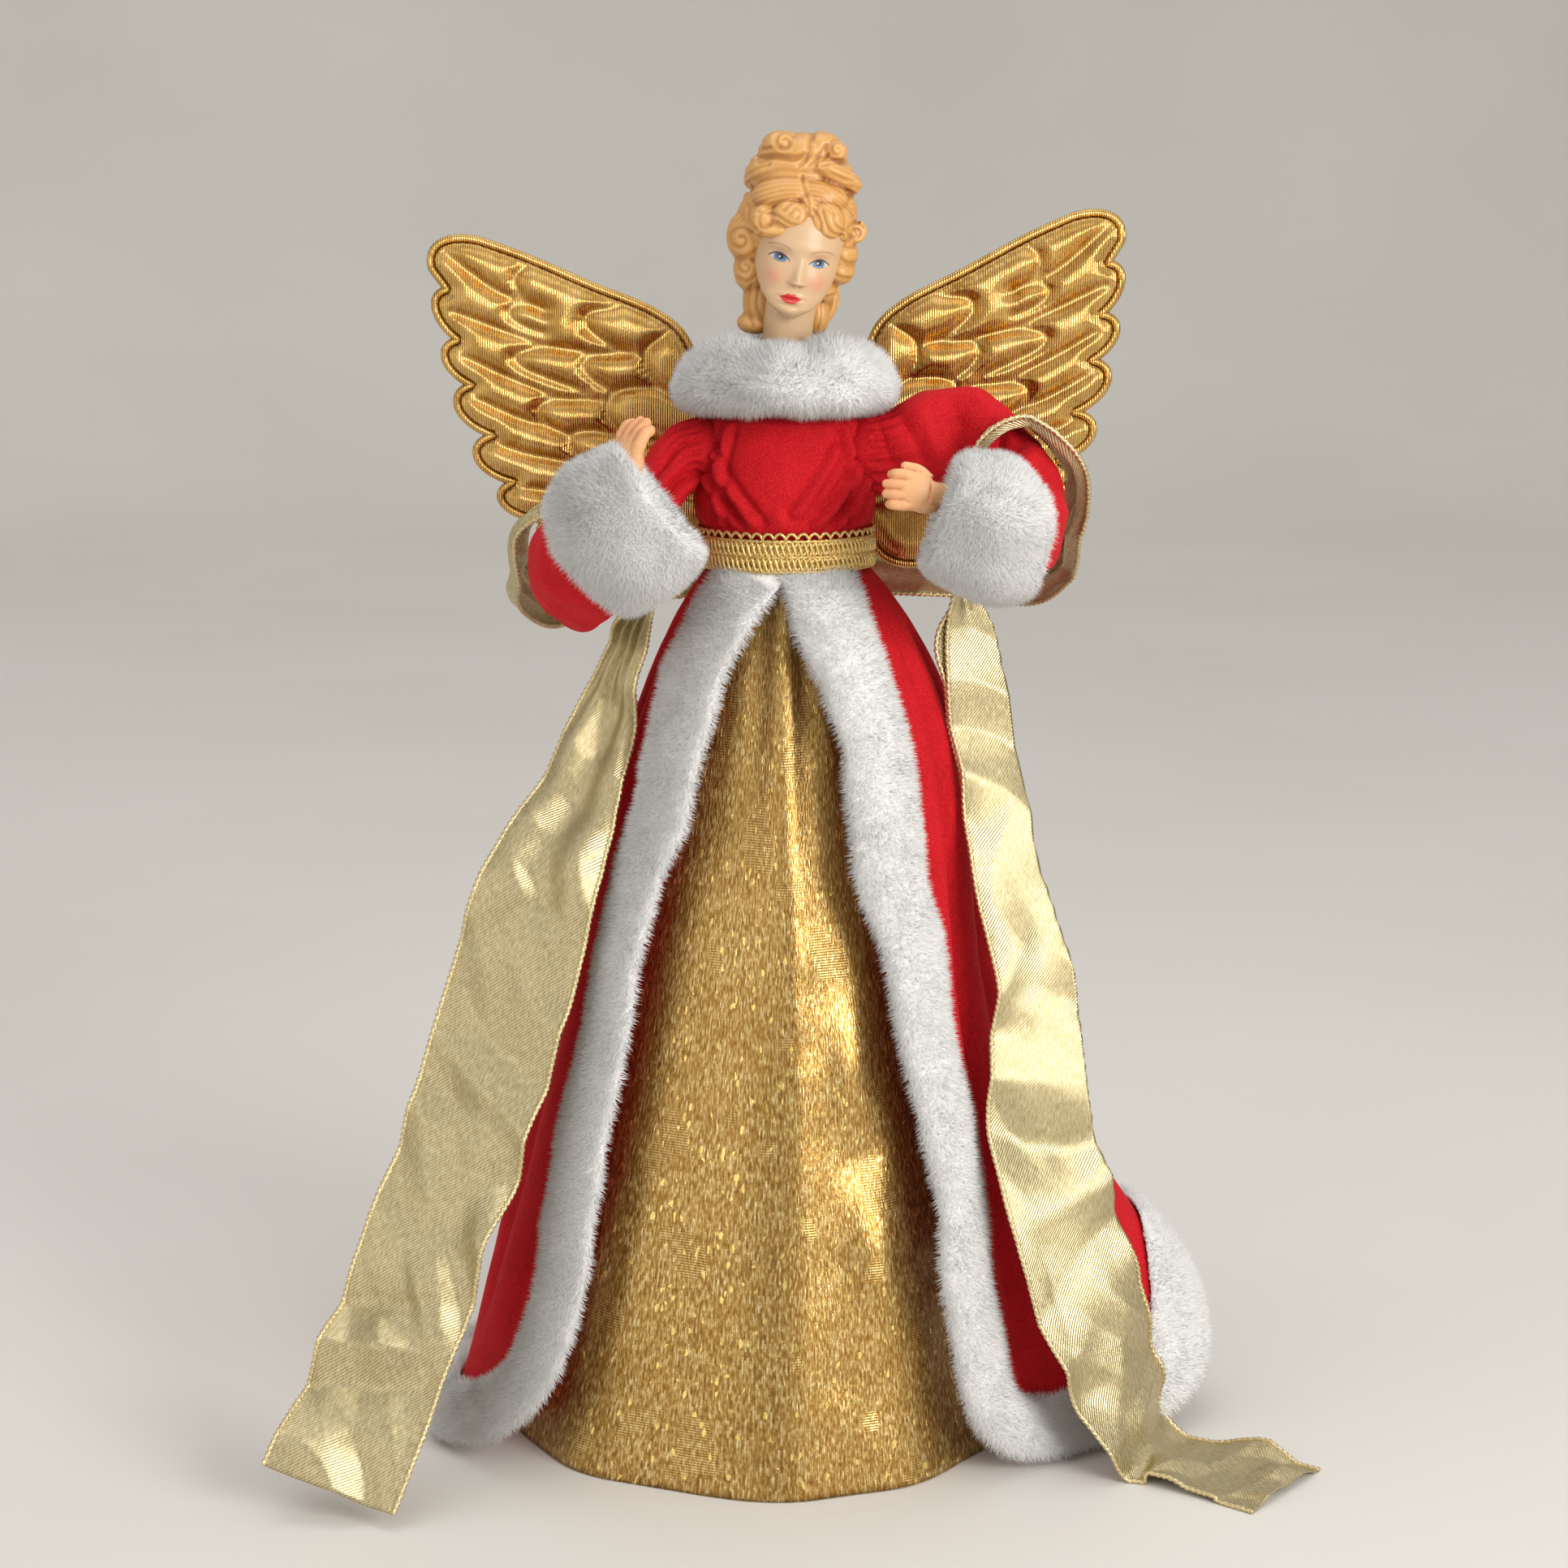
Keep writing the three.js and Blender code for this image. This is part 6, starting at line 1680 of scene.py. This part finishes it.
def hair_grooves():
    """Grooves of the hair seen from the front: depth, width, and places across and up."""
    grooves = [
        # The part, and the line where the bun sits on the crown
        (0.9, 0.6, [(4.9, 389), (5.7, 385.6), (6.8, 380.5), (7, 375.5)]),
        (1.1, 1.0, [(-12.4, 386), (-6.6, 389.4), (-2, 391), (4, 390.6), (9.1, 390.2), (14.6, 386.4),
                    (19.4, 383.4)]),
        # Fringe on the figure's left, in waves
        (0.8, 0.5, [(8.3, 379.4), (10.3, 375.6), (10.5, 372), (15, 370.4)]),
        (0.8, 0.5, [(11, 379), (12, 375), (13.8, 372.6), (17, 371.6)]),
        (0.7, 0.5, [(14.2, 378.4), (15, 375), (17.6, 373)]),
        # Fringe on its right: a roll at the part and one at the temple
        (0.8, 0.6, [(-0.5, 379.4), (2.2, 381.8), (5.6, 381.2), (6.6, 378), (4.8, 374.8), (1.6, 375)]),
        (0.5, 0.5, [(1.2, 378.2), (3, 379.8), (4.8, 378.2), (3.6, 376.6)]),
        (0.8, 0.55, [(-8, 378.8), (-3.7, 378.2), (-0.4, 376.2), (3.4, 373.4)]),
        (0.6, 0.5, [(-2.6, 375.8), (0.4, 374), (3.6, 373)]),
        (0.7, 0.55, [(-5.2, 379.8), (-7.9, 377.2), (-7, 374.2), (-4.6, 375)]),
        (0.8, 0.6, [(-11, 380.5), (-10.6, 375.5), (-7.4, 372.2)]),
        # Side curls
        (0.9, 0.6, coil(-13.6, 370.4, 4.4)),
        (0.8, 0.6, coil(20.8, 372.6, 3.3)),
        (0.6, 0.5, coil(-12, 362.6, 3.2)),
        (0.8, 0.7, [(-17, 365.6), (-12.6, 365), (-9, 367)]),
        (0.7, 0.6, [(-15.6, 359.6), (-11.6, 358), (-9, 359.6)]),
        (0.7, 0.6, [(-10.2, 357), (-11.6, 352), (-9.8, 345)]),
        (0.6, 0.5, [(-8, 356), (-8.6, 351), (-7, 346)]),
        (0.8, 0.6, [(22.6, 368), (18.4, 368.6), (15.8, 370)]),
        (0.8, 0.6, [(22, 363.4), (18, 363.6), (15, 366)]),
        (0.8, 0.6, [(20, 358.6), (16, 359.4), (13.4, 361.6)]),
        (0.7, 0.5, [(14.8, 354), (12, 353.4), (10.4, 356)]),
        (0.6, 0.5, [(10.6, 352), (11, 348), (9.6, 344)]),
        # The bun's coils and sweeps
        (1.0, 0.7, coil(-0.4, 399, 3.6)),
        (0.8, 0.6, coil(15.4, 396.6, 3.0)),
        (1.0, 0.8, [(-8, 393.4), (-3.7, 395), (2.3, 394.2), (6, 395.4)]),
        (1.1, 0.8, [(3.6, 391.2), (6.4, 394.9), (7.4, 399.1), (8.2, 402.4)]),
        (0.7, 0.6, [(6.6, 391.6), (10.2, 394.9), (12.1, 398)]),
        (0.5, 0.5, [(8.6, 391.6), (11.6, 394), (13, 396)]),
        (1.0, 0.7, [(10.6, 391.8), (14.2, 393.2), (18.4, 393)]),
        (0.6, 0.5, [(12.4, 389.8), (16.4, 386.4), (19.6, 385.6)]),
        (0.6, 0.5, [(11.6, 391), (16, 388.6), (20, 387.6)]),
        (0.7, 0.6, [(-12.6, 388.6), (-8.4, 391.4), (-5, 392.4)]),
        (0.6, 0.5, [(-10.4, 394.6), (-7.6, 396.6), (-4.6, 397.4)]),
    ]
    # Hair combed from the part to both sides
    for i in range(7):
        fall = i / 6
        grooves.append((0.28, 0.3, [(4.6 + 1.6 * fall, 388.6 - 7 * fall), (-2, 388.8 - 8.4 * fall),
                                    (-9, 387 - 9.6 * fall), (-14.2 - fall, 382.4 - 10 * fall)]))
        grooves.append((0.28, 0.3, [(5.4 + 1.6 * fall, 388.6 - 7.4 * fall), (11, 388 - 8 * fall),
                                    (16, 384 - 8 * fall), (20, 380.6 - 9 * fall)]))
    return grooves


def back_locks():
    """Waved locks down the back of the head to the nape, and coils behind the bun."""
    shapes = []
    for i in range(11):
        x = mix(-12, 16.5, i / 10)
        round_it = math.sqrt(max(0.0, 1 - ((x - 2.4) / 17.8) ** 2))
        sway = 1.2 * math.cos(2.4 * i)
        path = [(x + 0.4, 3 + 10 * round_it, 384), (x, 3 + 15.4 * round_it, 375),
                (x * 0.96 + sway, 4 + 14.6 * round_it, 367),
                (x * 0.88 + 0.3 - sway, 6 + 11.4 * round_it, 359),
                (x * 0.8 + 0.4 + sway, 7 + 9.4 * round_it, 351),
                (x * 0.72 + 0.5, 6.6 + 7.4 * round_it, 345)]
        shapes.append(lock(path, 2.1, 2.0))
    for z, wide, thick in ((388, 14.6, 2.8), (393, 12.6, 2.8), (397.6, 9.4, 2.6)):
        turn = np.radians(np.linspace(-15, 195, 12))
        path = stacked(4 + wide * np.cos(turn), 3 + wide * 0.8 * np.sin(turn), z + 1.2 * np.sin(2 * turn))
        shapes.append(lock(path, thick, thick))
    return shapes


def add_hair():
    """The moulded hair: soft masses with combed grooves, and locks behind. Its colour holds painted shade in
    the grooves and a painted highlight on the crests.
    """
    masses = [ball(middle, sizes) for middle, sizes in HAIR_MASSES]
    curls = [curl((20.6, -1.6, 372.6), 2.2, 1.9, (0.4, -1, 0.1), start=2)]
    curls.append(lock([(9, -8.6, 392), (15, -6, 389.4), (20, -0.5, 386.4), (18, 6, 386)], 3.0, 2.6))
    shape = fused(together(masses + curls + back_locks()), 0.4, 6)
    shape = carved(shape, hair_grooves())
    obj = add("head_hair", shape, HAIR, "head_unit")
    # Painted shade darkens the grooves and a painted highlight lightens the crests.
    depth = hollows(shape, 5)
    groove = np.clip(depth * 4, 0, 1)[:, None]
    crest = np.clip(-depth * 7, 0, 1)[:, None]
    colours = mix(linear(200, 144, 76), linear(158, 100, 46), groove)
    paint(obj, mix(colours, linear(220, 172, 106), 0.8 * crest))


# Pieces inside the figure

HIDDEN_PIECES = [
    ("cone_core", CARD, "card"), ("torso_form", FOAM, "foam"), ("neck_post", WOOD, "wood"),
    ("arm_wire_left", WIRE, "wire"), ("arm_wire_right", WIRE, "wire"),
]


def dress_hidden_pieces():
    """Gives pieces that keep the part's shape their finishes."""
    for name, material, slot in HIDDEN_PIECES:
        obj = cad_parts[name]
        obj.data.materials.clear()
        obj.data.materials.append(material)


# Stage, in metres

# Lamps: name, place, width, power and colour
LAMPS = [
    ("key", (0.95, -1.1, 0.66), 0.8, 16.5, (1, 0.98, 0.95)),
    ("top", (-0.1, 0.1, 1.4), 0.9, 3, (1, 1, 1)),
    ("fill", (-1.1, -0.9, 0.45), 2.0, 7, (1, 0.98, 0.96)),
]
LAMP_TARGET = (0, 0, 0.2)
# The room grows brighter along a direction
ROOM_BRIGHTER = (0.34, -0.18, 0.46)
ROOM_RANGE = {"From Min": -0.45, "From Max": 0.6, "To Min": 0.1, "To Max": 0.9}
ROOM_COLOUR = (1.0, 0.985, 0.96, 1)
CAMERA_LENS = 76.3
CAMERA_SENSOR = 36
CAMERA_PLACE = (-0.00049, -1.005, 0.4)
CAMERA_TILT = math.radians(79)


def add_light(name, place, size, power, colour):
    lamp = bpy.data.lights.new(name, "AREA")
    lamp.shape = "DISK"
    lamp.size = size
    lamp.energy = power
    lamp.color = colour
    obj = bpy.data.objects.new(name, lamp)
    obj.location = place
    obj.rotation_euler = (Vector(LAMP_TARGET) - Vector(place)).to_track_quat("-Z", "Y").to_euler()
    bpy.context.scene.collection.objects.link(obj)


def set_world():
    """A pale room, brighter overhead, in front and to the right."""
    world = bpy.data.worlds.new("room")
    bpy.context.scene.world = world
    world.use_nodes = True
    tree = world.node_tree
    back = tree.nodes["Background"]
    place = tree.nodes.new("ShaderNodeTexCoord")
    split = tree.nodes.new("ShaderNodeVectorMath")
    split.operation = "DOT_PRODUCT"
    split.inputs[1].default_value = ROOM_BRIGHTER
    tree.links.new(place.outputs["Generated"], split.inputs[0])
    ramp = tree.nodes.new("ShaderNodeMapRange")
    for key, value in ROOM_RANGE.items():
        ramp.inputs[key].default_value = value
    tree.links.new(split.outputs["Value"], ramp.inputs["Value"])
    tree.links.new(ramp.outputs["Result"], back.inputs["Strength"])
    back.inputs["Color"].default_value = ROOM_COLOUR


def add_floor():
    """A pale round floor whose rim turns up into a low backdrop. Its sizes are in mm."""
    flat, bend, rise = 2400.0, 900.0, 500.0
    quarter = np.linspace(0, math.pi / 2, 24)
    radius = np.concatenate([[0.5, 600, 1500], flat + bend * np.sin(quarter), [flat + bend]])
    height = np.concatenate([[0, 0, 0], bend * (1 - np.cos(quarter)), [bend + rise]])
    turn = full_turn(96)[None]
    rings = oval(radius[:, None], radius[:, None], turn, height[:, None])
    ids = grid_ids(len(radius), turn.size, True)
    add("floor", (rings.reshape(-1, 3), [quads(ids)]), FLOOR, outward=False)


def set_stage():
    add_floor()
    set_world()
    for lamp in LAMPS:
        add_light(*lamp)
    scene = bpy.context.scene
    scene.view_settings.view_transform = "Standard"
    lens = bpy.data.cameras.new("camera")
    lens.lens = CAMERA_LENS
    lens.sensor_width = CAMERA_SENSOR
    camera = bpy.data.objects.new("camera", lens)
    camera.location = CAMERA_PLACE
    camera.rotation_euler = (CAMERA_TILT, 0, 0)
    scene.collection.objects.link(camera)
    scene.camera = camera


def build():
    dress_hidden_pieces()
    add_skirt()
    add_robe()
    add_edging()
    add_bodice()
    add_belt()
    add_collar()
    add_sleeve("left", 1, SLEEVE_LEFT, FOLDS_LEFT, CUFF_START_LEFT, 70)
    add_sleeve("right", -1, SLEEVE_RIGHT, FOLDS_RIGHT, CUFF_START_RIGHT, 80)
    add_hand("left", 1, (21.6, -41, -8), (-0.98, -0.05, 0.12), (0, 1, -0.25), 1.05)
    add_hand("right", -1, (24.6, -56, -2.4), (-0.36, 0.05, 0.93), (-0.75, 0.5, -0.2), 1.2)
    add_wing("left", 1, 0)
    add_wing("right", -1, 5)
    add_spine()
    add_sash()
    add_face()
    add_hair()
    set_stage()


build()
